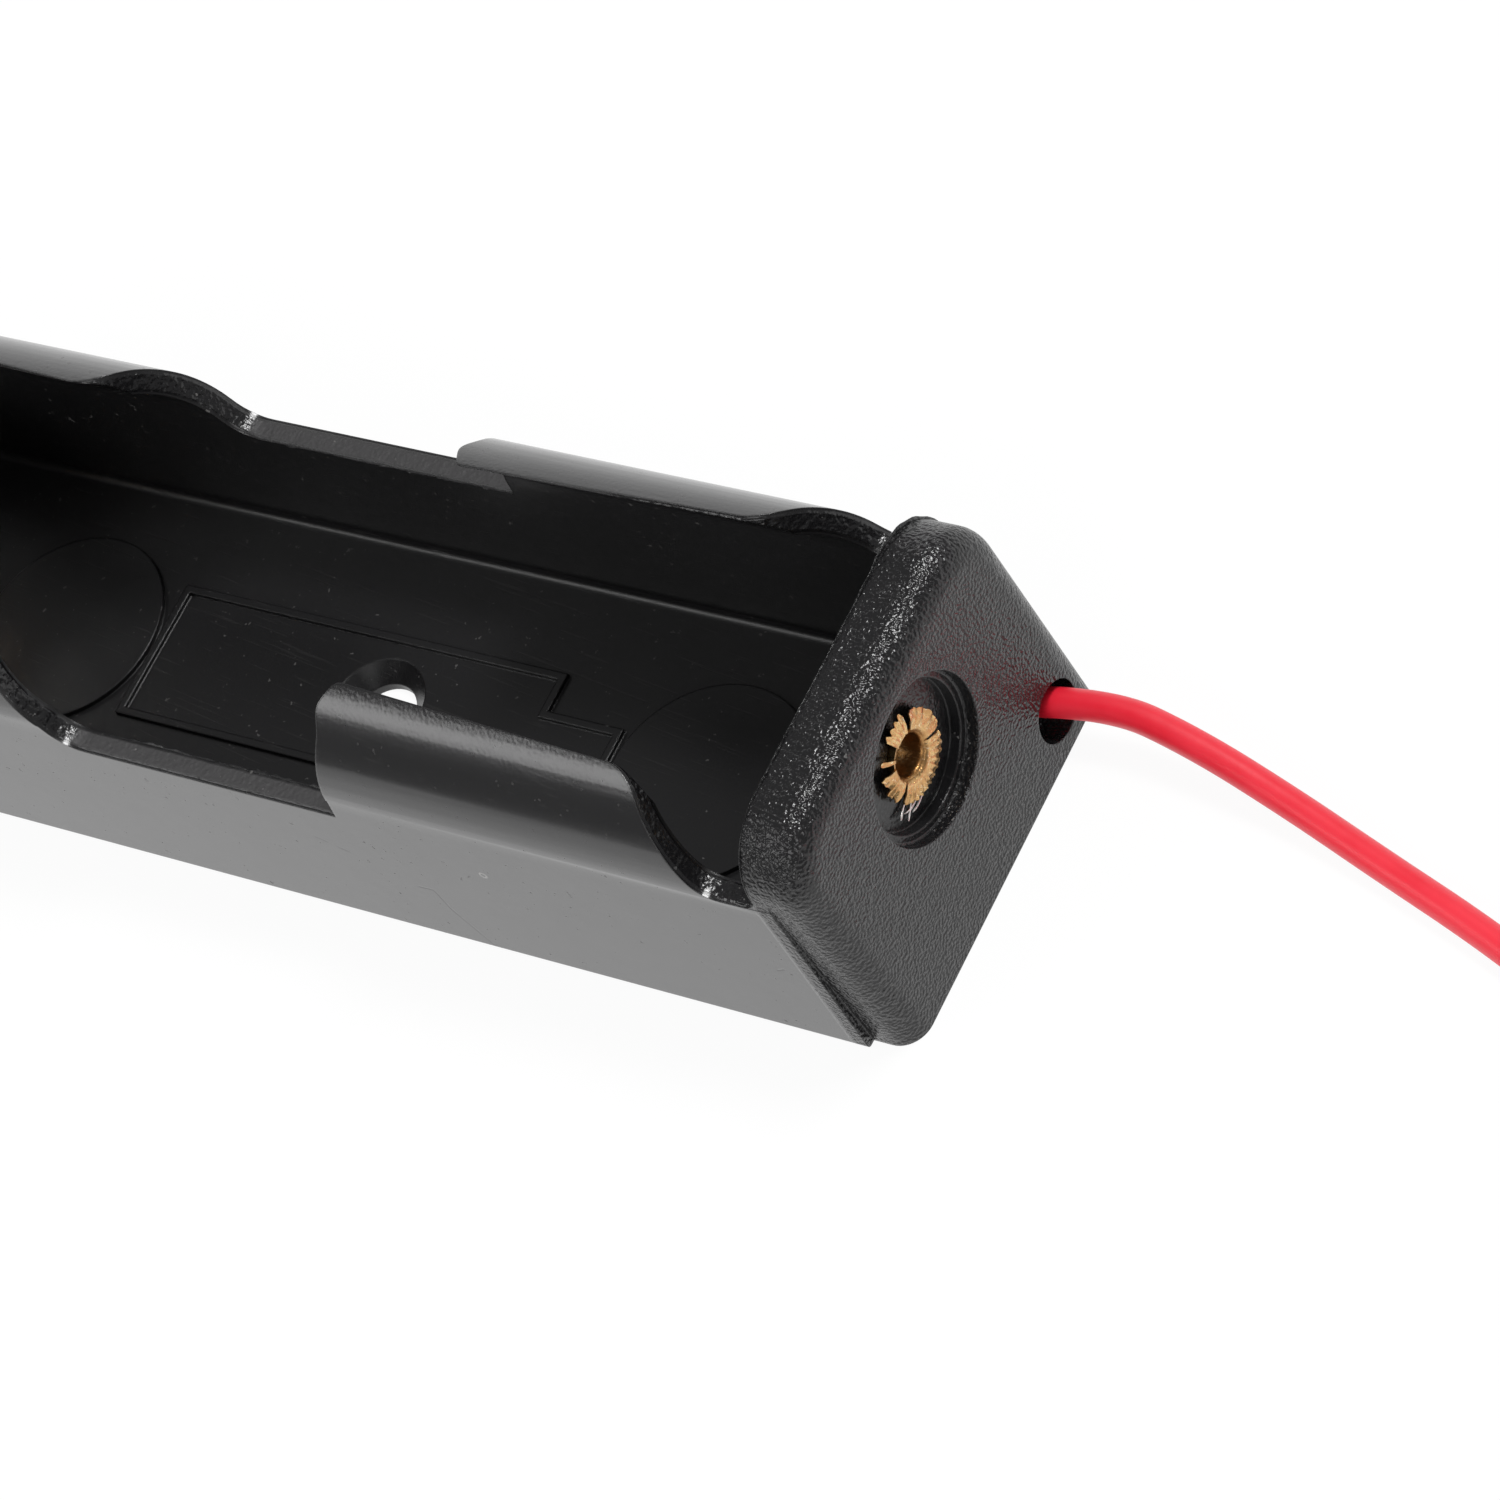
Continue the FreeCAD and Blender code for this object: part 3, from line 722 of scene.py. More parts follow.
@dataclass(frozen=True)
class BlackPlastic(Finish):
    """Injection moulded black plastic: glossy walls, spark-eroded blocks, marked floor.

    Lengths are in mm. A band is the stretch of a length over which a mask eases.
    """

    slot: str = "black_plastic"
    colour: Colour = (0.0068, 0.0066, 0.0072)
    ledge_colour: Colour = (0.034, 0.033, 0.034)
    mark_colour: Colour = (0.16, 0.155, 0.15)
    roughness: float = 0.3
    outside_roughness: float = 0.2
    coat: float = 0.5
    coat_roughness: float = 0.14
    relief_depth: float = 0.06
    edge_round: float = 0.16
    curl_middle: float = 4.76
    curl_height: float = 12.5
    block_band: Band = (36.3, 36.7)
    outside_band: Band = (5.365, 5.74)
    inner_skin_band: Band = (4.57, 4.79)
    outer_skin_band: Band = (5.54, 5.76)
    torn_band: Band = (10.5, 10.7)
    ledge_band: Band = (10.9, 11.1)
    lip_band: Band = (16.4, 18.2)
    recess_band: Band = (4.2, 4.4)
    recess_floor_band: Band = (38.0, 38.3)
    recess_mouth_band: Band = (39.7, 39.9)
    dusty_band: Band = (0.0, 3.0)
    nick_width: float = 0.08
    nicks: tuple[tuple[Point, Point], ...] = (
        ((11.5, 0.0, 5.1), (0.95, 0.0, 0.05)), ((12.45, 0.0, 5.1), (0.2, 0.0, -1.8)),
        ((12.65, 0.0, 3.3), (1.3, 0.0, -3.2)), ((6.1, 0.0, 7.85), (0.7, 0.0, -0.25)),
        ((7.4, 0.0, 7.3), (0.6, 0.0, -0.2)), ((34.8, 0.0, 6.4), (0.5, 0.0, 0.3)),
    )
    ring: Point = (17.47, 0.0, 8.42)
    ring_radius: float = 0.2
    ring_band: Band = (0.03, 0.08)

    def masks(self, shading: Shading, axes: dict[str, Socket]) -> TrayMasks:
        """Find the tray's parts by their coordinates.

        A wall's skins are told apart by the distance from the curl's axis, which is
        sqrt((|y| - curl_middle)^2 + max(z - curl_height, 0)^2). Torn edges lie between
        the skins, and the recess around the axis of the eyelets.

        Args:
            shading: helper of the material's tree.
            axes: sockets of X, Y and Z.

        Returns:
            The masks.
        """
        end = shading.math("ABSOLUTE", axes["X"])
        block = shading.rise(end, self.block_band)
        open_wall = shading.minus(1.0, block)
        skin = shading.hypot(
            shading.minus(shading.math("ABSOLUTE", axes["Y"]), self.curl_middle * MM),
            shading.most(shading.minus(axes["Z"], self.curl_height * MM), 0.0))
        outside = shading.product(open_wall, shading.rise(skin, self.outside_band))
        torn = shading.product(
            shading.rise(skin, self.inner_skin_band), shading.fall(skin, self.outer_skin_band),
            shading.rise(axes["Z"], self.torn_band), open_wall)
        spoke = shading.hypot(axes["Y"], shading.minus(axes["Z"], CELL_AXIS * MM))
        return TrayMasks(
            block=block,
            outside=outside,
            near_wall=shading.product(outside, shading.math("LESS_THAN", axes["Y"], 0.0)),
            lip=shading.product(outside, shading.rise(axes["Z"], self.lip_band)),
            torn=torn,
            ledge=shading.product(torn, shading.fall(axes["Z"], self.ledge_band)),
            recess=shading.product(
                shading.fall(spoke, self.recess_band), shading.rise(end, self.recess_floor_band),
                shading.fall(end, self.recess_mouth_band)),
        )

    def marks(self, shading: Shading, effects: Effects, place: Socket,
              axes: dict[str, Socket], near_wall: Socket) -> TrayMarks:
        """Lay out the grain and the traces of use, with nicks and a ring on the near wall.

        Args:
            shading: helper of the material's tree.
            effects: shared node groups.
            place: coordinates.
            axes: sockets of X, Y and Z.
            near_wall: mask of the near wall's outside.

        Returns:
            The marks.
        """
        flat = shading.node("ShaderNodeCombineXYZ")
        shading.feed(flat.inputs["X"], axes["X"])
        shading.feed(flat.inputs["Z"], axes["Z"])
        nicks = [shading.group(effects.lines, Vector=flat.outputs[0],
                               From=tuple(Vector(start) * MM), Along=tuple(Vector(along) * MM),
                               Width=self.nick_width * MM) for start, along in self.nicks]
        away = shading.vector(
            "DISTANCE", flat.outputs[0], tuple(Vector(self.ring) * MM), output="Value")
        off = shading.math("ABSOLUTE", shading.minus(away, self.ring_radius * MM))
        return TrayMarks(
            grain=shading.group(
                effects.grain, Vector=place, Density=5400.0, Coarseness=0.5, Detail=0.4),
            rips=shading.group(
                effects.grain, Vector=place, Density=3600.0, Coarseness=1.2, Detail=0.8),
            haze=shading.group(effects.grain, Vector=place, Density=900.0, Coarseness=0.8),
            hairlines=shading.group(effects.scratches, Vector=place, Turn=(0.0, 0.0, 0.12),
                                    Stretch=(220.0, 7000.0, 7000.0), Threshold=0.66),
            strokes=shading.group(effects.scratches, Vector=place, Turn=(0.0, 0.9, 0.5),
                                  Stretch=(500.0, 9000.0, 9000.0), Threshold=0.7),
            dust=shading.group(effects.flecks, Vector=place, Density=2300.0, Threshold=0.705,
                               Softness=0.02),
            nicks=shading.product(shading.most(*nicks), near_wall),
            ring=shading.product(near_wall, shading.fall(off, self.ring_band)),
        )

    def height(self, shading: Shading, masks: TrayMasks, marks: TrayMarks) -> Socket:
        """Add up the relief, in shares of its depth.

        Grain on the blocks, faint on the lips and in the recess, haze and scratches that
        differ inside and outside, rips on torn edges, and nicks cut into the near wall.

        Args:
            shading: helper of the material's tree.
            masks: masks of the tray's parts.
            marks: grain and traces of use.

        Returns:
            The height's socket.
        """
        rugged = shading.product(
            shading.most(masks.block, shading.product(masks.lip, 0.13)),
            shading.level(masks.recess, 1.0, 0.25))
        return shading.total(
            shading.product(marks.grain, shading.product(rugged, 1.8)),
            shading.product(marks.haze, shading.level(masks.outside, 0.02, 0.12)),
            shading.product(shading.total(marks.hairlines, marks.strokes),
                            shading.level(masks.outside, -0.06, -0.012)),
            shading.product(marks.rips, shading.product(masks.torn, 1.5)),
            shading.product(marks.nicks, -0.8))

    def gloss(self, shading: Shading, masks: TrayMasks, marks: TrayMarks) -> Socket:
        """Add up the roughness: less on blocks and torn edges, more on ledges and dust.

        Args:
            shading: helper of the material's tree.
            masks: masks of the tray's parts.
            marks: grain and traces of use.

        Returns:
            The roughness's socket.
        """
        return shading.total(
            shading.level(masks.outside, self.roughness, self.outside_roughness),
            shading.product(marks.haze, 0.05), shading.product(masks.block, -0.10),
            shading.product(masks.torn, -0.10), shading.product(masks.ledge, 0.35),
            shading.product(marks.dust, 0.3), clamp=True)

    def tone(self, shading: Shading, masks: TrayMasks, marks: TrayMarks, up: Socket) -> Socket:
        """Blend the colour: paler on ledges, and on dust, hairlines and the ring.

        Args:
            shading: helper of the material's tree.
            masks: masks of the tray's parts.
            marks: grain and traces of use.
            up: socket of Z.

        Returns:
            The colour's socket.
        """
        dust = shading.product(marks.dust, shading.level(masks.outside, 1.0, 0.3))
        low, high = self.dusty_band
        specks = shading.product(dust, shading.ramp(up, low * MM, high * MM, 0.1, 0.5))
        marked = shading.total(specks, shading.product(marks.hairlines, 0.04), clamp=True)
        return shading.blend(
            shading.most(marked, marks.ring),
            shading.blend(masks.ledge, self.colour, self.ledge_colour), self.mark_colour)

    def material(self, effects: Effects) -> bpy.types.Material:
        """Build the plastic.

        The end blocks carry a fine eroded grain, the walls' outsides are nearly polished,
        and the inside has a little haze, hairline scratches and dust.

        Args:
            effects: shared node groups.

        Returns:
            The material.
        """
        material, shading, shader, place = self.start()
        axes = shading.axes(place)
        masks = self.masks(shading, axes)
        marks = self.marks(shading, effects, place, axes, masks.near_wall)
        bump = self.relief(
            shading, shader, self.height(shading, masks, marks), self.relief_depth * MM)
        rounded = shading.node("ShaderNodeBevel", samples=6)
        rounded.inputs["Radius"].default_value = self.edge_round * MM
        shading.feed(bump.inputs["Normal"], rounded.outputs["Normal"])
        shading.feed(shader.inputs["Roughness"], self.gloss(shading, masks, marks))
        shading.feed(shader.inputs["Coat Weight"], shading.product(masks.outside, self.coat))
        shader.inputs["Coat Roughness"].default_value = self.coat_roughness
        shading.feed(shader.inputs["Base Color"], self.tone(shading, masks, marks, axes["Z"]))
        return material


@dataclass(frozen=True)
class Brass(Finish):
    """Thin brass sheet, drawn and split: golden with pale worn ridges and a dull bore."""

    slot: str = "brass_rivet"
    colour: Colour = (0.78, 0.52, 0.24)
    tarnish_colour: Colour = (0.62, 0.36, 0.15)
    worn_colour: Colour = (0.93, 0.78, 0.52)
    bore_colour: Colour = (0.30, 0.13, 0.035)
    roughness: float = 0.3
    metallic: float = 1.0
    bore_band: Band = (1.12, 1.47)
    relief_depth: float = 0.025

    def material(self, effects: Effects) -> bpy.types.Material:
        """Build the brass: tarnished in patches, paler in flecks, brown and rougher down the bore.

        Args:
            effects: shared node groups.

        Returns:
            The material.
        """
        material, shading, shader, place = self.start()
        axes = shading.axes(place)
        spoke = shading.hypot(axes["Y"], shading.minus(axes["Z"], CELL_AXIS * MM))
        bore = shading.fall(spoke, self.bore_band)
        tarnish = shading.group(effects.grain, Vector=place, Density=2600.0, Coarseness=0.7)
        worn = shading.group(effects.flecks, Vector=place, Density=6500.0, Threshold=0.6,
                             Softness=0.1)
        scored = shading.group(effects.scratches, Vector=place, Turn=(0.0, 0.0, 0.0),
                               Stretch=(2500.0, 9000.0, 9000.0), Threshold=0.55)
        toned = shading.blend(
            shading.ramp(tarnish, 0.5, 1.05), self.colour, self.tarnish_colour)
        shading.feed(shader.inputs["Base Color"], shading.blend(
            shading.product(bore, 0.75), shading.blend(worn, toned, self.worn_colour),
            self.bore_colour))
        shading.feed(shader.inputs["Roughness"], shading.total(
            shading.ramp(tarnish, 0.4, 1.1, 0.13, 0.34), shading.product(bore, 0.12)))
        self.relief(shading, shader, shading.total(tarnish, shading.product(scored, -0.4)),
                    self.relief_depth * MM)
        return material


@dataclass(frozen=True)
class PlainMetal(Finish):
    """Plated or drawn metal with fine lengthwise marks and slight spots."""

    metallic: float = 1.0
    spots: Colour = (0.5, 0.48, 0.44)
    mark_stretch: Point = (9000.0, 300.0, 9000.0)
    mark_threshold: float = 0.6
    relief_depth: float = 0.01

    def material(self, effects: Effects) -> bpy.types.Material:
        """Build the metal out of its marks and spots.

        Args:
            effects: shared node groups.

        Returns:
            The material.
        """
        material, shading, shader, place = self.start()
        marks = shading.group(effects.scratches, Vector=place, Turn=(0.0, 0.0, 0.0),
                              Stretch=self.mark_stretch, Threshold=self.mark_threshold)
        cloud = shading.group(effects.grain, Vector=place, Density=1200.0, Coarseness=0.8)
        flecks = shading.group(effects.flecks, Vector=place, Density=4000.0, Threshold=0.66,
                               Softness=0.05)
        dulled = shading.blend(shading.ramp(cloud, 0.6, 1.3, 0.0, 0.5), self.colour, self.spots)
        shading.feed(shader.inputs["Base Color"], shading.blend(
            shading.product(flecks, 0.35), dulled, self.spots))
        clouded = shading.ramp(cloud, 0.4, 1.4, self.roughness - 0.08, self.roughness + 0.12)
        shading.feed(shader.inputs["Roughness"], shading.total(
            clouded, shading.product(marks, 0.1)))
        self.relief(shading, shader, shading.total(shading.product(marks, -1.0), cloud),
                    self.relief_depth * MM)
        return material


@dataclass(frozen=True)
class RedInsulation(Finish):
    """Soft red insulation: satin, slightly uneven, with a few dusty spots."""

    slot: str = "red_insulation"
    colour: Colour = (0.66, 0.008, 0.024)
    cloud_colour: Colour = (0.72, 0.012, 0.032)
    dust_colour: Colour = (0.8, 0.3, 0.3)
    roughness: float = 0.36
    relief_depth: float = 0.008

    def material(self, effects: Effects) -> bpy.types.Material:
        """Build the insulation, which is a little brighter in places.

        Args:
            effects: shared node groups.

        Returns:
            The material.
        """
        material, shading, shader, place = self.start()
        cloud = shading.group(effects.grain, Vector=place, Density=420.0, Coarseness=0.7)
        skin = shading.group(effects.grain, Vector=place, Density=3500.0, Coarseness=0.5)
        dust = shading.group(effects.flecks, Vector=place, Density=1500.0, Threshold=0.76,
                             Softness=0.03)
        toned = shading.blend(shading.ramp(cloud, 0.5, 1.1), self.colour, self.cloud_colour)
        shading.feed(shader.inputs["Base Color"], shading.blend(
            shading.product(dust, 0.35), toned, self.dust_colour))
        shading.feed(shader.inputs["Roughness"], shading.ramp(cloud, 0.4, 1.2, 0.32, 0.46))
        self.relief(shading, shader, skin, self.relief_depth * MM)
        for name, value in (("Specular IOR Level", 0.7), ("Subsurface Weight", 0.08),
                            ("Subsurface Radius", (0.8 * MM, 0.1 * MM, 0.1 * MM)),
                            ("Subsurface Scale", 1.0)):
            shader.inputs[name].default_value = value
        return material


@dataclass(frozen=True)
class Finishes:
    """All materials of the holder."""

    plastic: bpy.types.Material
    brass: bpy.types.Material
    nickel: bpy.types.Material
    tinned: bpy.types.Material
    steel: bpy.types.Material
    red: bpy.types.Material


def make_finishes(effects: Effects) -> Finishes:
    """Build each material once.

    Args:
        effects: shared node groups.

    Returns:
        The holder's materials.
    """
    nickel = PlainMetal(slot="nickel_plate", colour=(0.72, 0.70, 0.65), roughness=0.26)
    tinned = PlainMetal(slot="tinned_copper", colour=(0.80, 0.79, 0.77), roughness=0.24,
                        mark_stretch=(5000.0, 5000.0, 5000.0))
    steel = PlainMetal(slot="spring_steel", colour=(0.70, 0.69, 0.66), roughness=0.24,
                       mark_stretch=(1500.0, 6000.0, 6000.0))
    return Finishes(
        plastic=BlackPlastic().material(effects),
        brass=Brass().material(effects),
        nickel=nickel.material(effects),
        tinned=tinned.material(effects),
        steel=steel.material(effects),
        red=RedInsulation().material(effects),
    )


# Studio


@dataclass(frozen=True)
class Lamp:
    """One soft rectangular lamp: where it hangs, what it faces, its sides and its power."""

    name: str
    place: Point
    aim: Point
    width: float
    depth: float
    watts: float

    def hang(self) -> None:
        """Hang the lamp in the scene."""
        light = bpy.data.lights.new(self.name, "AREA")
        light.shape = "RECTANGLE"
        light.size, light.size_y = self.width, self.depth
        light.energy = self.watts
        item = linked(self.name, light)
        item.location = self.place
        facing = Vector(self.aim) - Vector(self.place)
        item.rotation_euler = facing.to_track_quat("-Z", "Y").to_euler()


@dataclass
class Studio:
    """Camera, pale floor and soft light."""

    camera_place: Point = (0.194371, -0.099579, 0.228552)
    camera_forward: Point = (-0.566187, 0.337914, -0.751829)
    camera_up: Point = (-0.191164, 0.833408, 0.518543)
    focal_length: float = 142.15
    floor_half: float = 2.0
    floor_front: float = -0.08
    floor_back: float = 0.8
    backdrop_top: float = 0.45
    floor_drop: float = 0.02 * MM
    floor_colour: Colour = (0.86, 0.86, 0.86)
    floor_glow: float = 0.93
    sky: float = 0.6
    mirrored_sky: float = 0.24
    lamps: tuple[Lamp, ...] = (
        Lamp("overhead", (0.235, 0.28, 0.785), (0.02, 0.0, 0.0), 0.22, 0.2, 4.8),
        Lamp("front", (0.25, -0.75, 0.50), (0.0, 0.0, 0.0), 0.6, 0.4, 2.2),
        Lamp("left", (-0.453, -0.407, 0.519), (0.0, 0.0, 0.0), 0.45, 0.17, 1.0),
    )

    def camera(self) -> None:
        """Stand the camera where the photograph was taken."""
        lens = bpy.data.cameras.new("camera")
        lens.lens = self.focal_length
        lens.clip_start, lens.clip_end = 0.01, 10.0
        item = linked("camera", lens)
        forward = Vector(self.camera_forward).normalized()
        right = forward.cross(Vector(self.camera_up)).normalized()
        up = right.cross(forward)
        turn = Matrix((right, up, -forward)).transposed().to_4x4()
        item.matrix_world = Matrix.Translation(self.camera_place) @ turn
        bpy.context.scene.camera = item

    def floor(self) -> None:
        """Lay a pale sweep of paper, seen as white by the camera and in reflections.

        It is flat under the object, rises into a backdrop, and ends a little way in front,
        so the curls that face the front mirror the room's darkness.
        """
        half, drop = self.floor_half, -self.floor_drop
        front, back, top = self.floor_front, self.floor_back, self.backdrop_top
        mesh = bpy.data.meshes.new("floor")
        mesh.from_pydata(
            [(-half, front, drop), (half, front, drop), (half, back, drop), (-half, back, drop),
             (half, back + top / 3.0, top), (-half, back + top / 3.0, top)],
            [], [(0, 1, 2, 3), (3, 2, 4, 5)])
        item = linked("floor", mesh)
        material, shading = new_material("floor_white")
        paper = shading.node("ShaderNodeBsdfDiffuse")
        paper.inputs["Color"].default_value = (*self.floor_colour, 1.0)
        glow = shading.node("ShaderNodeEmission")
        glow.inputs["Color"].default_value = (1.0, 1.0, 1.0, 1.0)
        ray = shading.node("ShaderNodeLightPath").outputs
        mirrored = shading.most(ray["Is Glossy Ray"], ray["Is Transmission Ray"])
        direct = shading.product(ray["Is Camera Ray"], self.floor_glow)
        mix = shading.node("ShaderNodeMixShader")
        shading.feed(mix.inputs["Fac"], shading.most(direct, mirrored))
        shading.feed(mix.inputs[1], paper.outputs[0])
        shading.feed(mix.inputs[2], glow.outputs[0])
        shading.surface(mix.outputs[0])
        dress(item, material)

    def room(self) -> None:
        """Surround the object with an even sky, white to the camera and dim in reflections."""
        world = bpy.data.worlds.new("soft_room")
        world.use_nodes = True
        shading = Shading(world.node_tree)
        back = shading.node("ShaderNodeBackground")
        back.inputs["Color"].default_value = (1.0, 1.0, 1.0, 1.0)
        ray = shading.node("ShaderNodeLightPath").outputs
        seen = shading.product(ray["Is Camera Ray"], 1.0 - self.sky)
        mirrored = shading.product(ray["Is Glossy Ray"], self.mirrored_sky - self.sky)
        shading.feed(
            back.inputs["Strength"], shading.total(self.sky, shading.total(seen, mirrored)))
        shading.surface(back.outputs[0], "ShaderNodeOutputWorld")
        bpy.context.scene.world = world

    def build(self) -> None:
        """Set the whole studio up."""
        self.camera()
        self.floor()
        self.room()
        for lamp in self.lamps:
            lamp.hang()
        bpy.context.scene.view_settings.view_transform = "Standard"


# Red lead


@dataclass
class RedLead:
    """The red lead: out of its hole, down to the ground and into its stored coil."""

    width: float = 1.6 * MM
    length: float = 0.147
    route: tuple[Point, ...] = (
        (0.0374, 0.0079, 0.0026), (0.0426, 0.00885, 0.0030), (0.0480, 0.00795, 0.0024),
        (0.0538, 0.00645, 0.0013), (0.0598, 0.0045, 0.0008), (0.0658, 0.0025, 0.0008),
        (0.0712, 0.00035, 0.0008),
    )
    coil_centre: Point = (0.07811, 0.00843, 0.0008)
    outer_turn: float = 9.68 * MM
    turns: float = 2.1
    points_per_turn: int = 14
    start_degrees: float = -100.0
    tip_start: Point = (0.08176, 0.00408, 0.0008)

    def coil(self) -> list[Point]:
        """Wind the stored turns inwards.

        The radius falls by one width of lead per turn, r = R - w t, at the angle
        a = start + 360 t, for t from 0 to the number of turns.

        Returns:
            The points of the coil, from its outer turn inwards.
        """
        t = np.linspace(0.0, self.turns, round(self.turns * self.points_per_turn) + 1)
        angle = np.radians(self.start_degrees) + 2.0 * np.pi * t
        radius = self.outer_turn - self.width * t
        x = self.coil_centre[0] + radius * np.cos(angle)
        y = self.coil_centre[1] + radius * np.sin(angle)
        return [(float(px), float(py), self.coil_centre[2]) for px, py in zip(x, y)]

    def build(self, finishes: Finishes) -> bpy.types.Object:
        """Args:
            finishes: the holder's materials.

        Returns:
            The new piece, declared to the frame.
        """
        points = [*self.route, *self.coil(), self.tip_start]
        curve = bpy.data.curves.new("red_lead_cord", "CURVE")
        curve.dimensions = "3D"
        curve.bevel_depth = self.width / 2.0
        curve.bevel_resolution = 8
        curve.use_fill_caps = True
        curve.resolution_u = 12
        spline = curve.splines.new("NURBS")
        spline.points.add(len(points) - 1)
        for control, point in zip(spline.points, points):
            control.co = (*point, 1.0)
        spline.order_u = 3
        spline.use_endpoint_u = True
        item = linked("red_lead_cord", curve)
        dress(item, finishes.red)
        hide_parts("red_lead", "red_lead_coil")
        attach(item, HOLDER)
        dress(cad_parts["red_lead_tip"], finishes.tinned)
        dress(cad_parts["red_conductor"], finishes.tinned)
        return item


# Eyelets


@dataclass(frozen=True)
class Petal:
    """One sector of an eyelet's split rim, by its angles from +Y towards +Z."""

    start: float
    end: float
    reach: float
    lift: float = 0.0
    flutes: float = 0.0
    rag: float = 0.04


NEAR_PETALS = (
    Petal(-15.0, 56.0, 2.42, 0.04, 3.0, 0.05),
    Petal(-150.0, -21.0, 2.40, 0.05, 13.0, 0.06),
    Petal(151.0, 204.0, 2.28, -0.02, 5.0, 0.14),
    Petal(130.0, 136.5, 2.47, -0.08, 0.0, 0.02),
    Petal(66.0, 107.0, 2.45, -0.04, 4.0, 0.20),
)
FAR_PETALS = (
    Petal(5.0, 68.0, 2.30, 0.02, 4.0, 0.06),
    Petal(76.0, 150.0, 2.38, 0.04, 7.0, 0.06),
    Petal(160.0, 214.0, 2.25, 0.0, 4.0, 0.12),
    Petal(222.0, 281.0, 2.36, 0.03, 6.0, 0.06),
    Petal(288.0, 353.0, 2.30, -0.03, 5.0, 0.10),
)


@dataclass
class Eyelet:
    """A hollow brass rivet: flat head inside the bay, split rim spread in the recess."""

    name: str
    node: str
    petals: tuple[Petal, ...]
    facing: float
    head_face: float
    head_back: float
    rim_start: float
    seed: int
    axis_height: float = CELL_AXIS
    bore: float = 1.1
    barrel: float = 1.35
    head_radius: float = 3.0
    throat: float = 0.3
    rim_height: float = 0.42
    sheet: float = 0.13
    mouth_round: float = 0.35
    sides: int = 72
    petal_rows: int = 14
    degrees_per_step: float = 1.6
    flute_height: float = 0.06
    crumple: float = 0.03
    droop: float = 0.10
    thinning: float = 0.35
    corner_cut: float = 0.12

    def placed(self, along: np.ndarray, radius: np.ndarray, angle: np.ndarray) -> np.ndarray:
        """Turn along, radius and angle about the rivet's axis into points in metres.

        x = facing * along, y = r cos a, z = axis height + r sin a.

        Args:
            along: distances outwards along the axis.
            radius: distances from the axis.
            angle: angles from +Y towards +Z.

        Returns:
            The points.
        """
        x = self.facing * along + 0.0 * angle
        y = radius * np.cos(angle)
        z = self.axis_height + radius * np.sin(angle)
        return np.stack([x, y, z], axis=-1) * MM

    def shank(self) -> Surface:
        """Revolve the closed profile of head, barrel and throat about the axis.

        The profile is a list of (along, radius) corners with the head's rounded rim as an
        arc, and each of its points makes a full circle.

        Returns:
            The closed surface.
        """
        arc = np.linspace(-np.pi / 2.0, np.pi / 2.0, 9)
        thick = (self.head_back - self.head_face) / 2.0
        rim_along = self.head_face + thick + thick * np.sin(arc)
        rim_radius = self.head_radius - thick * 0.6 + thick * 0.6 * np.cos(arc)
        flare = np.linspace(0.0, np.pi / 2.0, 8)
        throat, mouth = self.throat, self.rim_start
        lead_in = np.linspace(np.pi / 2.0, 0.0, 7)
        along = np.concatenate([
            self.head_face + self.mouth_round * (1.0 - np.sin(lead_in)), [mouth],
            mouth + throat * np.sin(flare[1:]), [mouth + throat - self.sheet],
            [mouth - 0.15], [self.head_back], rim_along[::-1],
        ])
        radius = np.concatenate([
            self.bore + self.mouth_round * np.sin(lead_in), [self.bore],
            self.bore + throat * (1.0 - np.cos(flare[1:])), [self.bore + throat],
            [self.barrel], [self.barrel], rim_radius[::-1],
        ])
        angle = np.linspace(0.0, 2.0 * np.pi, self.sides, endpoint=False)
        rings = self.placed(along[None, :], radius[None, :], angle[:, None])
        rows, columns = rings.shape[:2]
        faces = grid_faces(rows, columns, True, True)
        return Surface(rings.reshape(-1, 3), faces).facing_out()

    def petal(self, petal: Petal, number: int) -> Surface:
        """Spread one petal as a bent sheet.

        A closed strip (upper side out, lower side back) is carried from the petal's start
        angle to its end. With v from 0 to 1 across it, the upper side climbs as
        x = mouth + rim_height sin(min(3 v, 1) pi / 2), and its radius runs from the bore to
        the petal's reach as v^1.25. The reach wanders for a torn edge, flutes lift the sheet
        by a cosine of the angle that grows outwards, and the rim droops and grows thinner.

        Args:
            petal: the petal's angles and sizes.
            number: its place in the rim.

        Returns:
            The closed sheet.
        """
        seed = self.seed + number
        steps = max(6, round((petal.end - petal.start) / self.degrees_per_step))
        u = np.linspace(0.0, 1.0, steps)
        angle = np.radians(petal.start + (petal.end - petal.start) * u)
        torn = wander(u, max(3, steps // 3), seed) + 0.6 * wander(u, max(3, steps // 2), seed + 50)
        ends = self.corner_cut * (smoothstep(u, 0.0, 0.08) * smoothstep(1.0 - u, 0.0, 0.08) - 1.0)
        reach = petal.reach + petal.rag * torn + ends
        v = np.linspace(0.0, 1.0, self.petal_rows)
        climb = self.rim_height * np.sin(np.minimum(v * 3.0, 1.0) * np.pi / 2.0)
        ramp = smoothstep(v, 0.25, 1.0)
        start = self.bore + 0.02
        spread = start + (reach[:, None] - start) * (v[None, :] ** 1.25)
        flutes = self.flute_height * np.cos(2.0 * np.pi * petal.flutes * u)[:, None]
        flutes = flutes + self.crumple * wander(u, steps, seed + 90)[:, None]
        top = (self.rim_start + climb[None, :] + ramp[None, :] * (petal.lift + flutes)
               - self.droop * smoothstep(v, 0.7, 1.0)[None, :])
        under = top - self.sheet * (1.0 - self.thinning * v[None, :])
        along = np.concatenate([top, under[:, ::-1]], axis=1)
        radius = np.concatenate([spread, spread[:, ::-1] - 0.02], axis=1)
        rings = self.placed(along, radius, angle[:, None] + 0.0 * radius)
        return swept(rings)

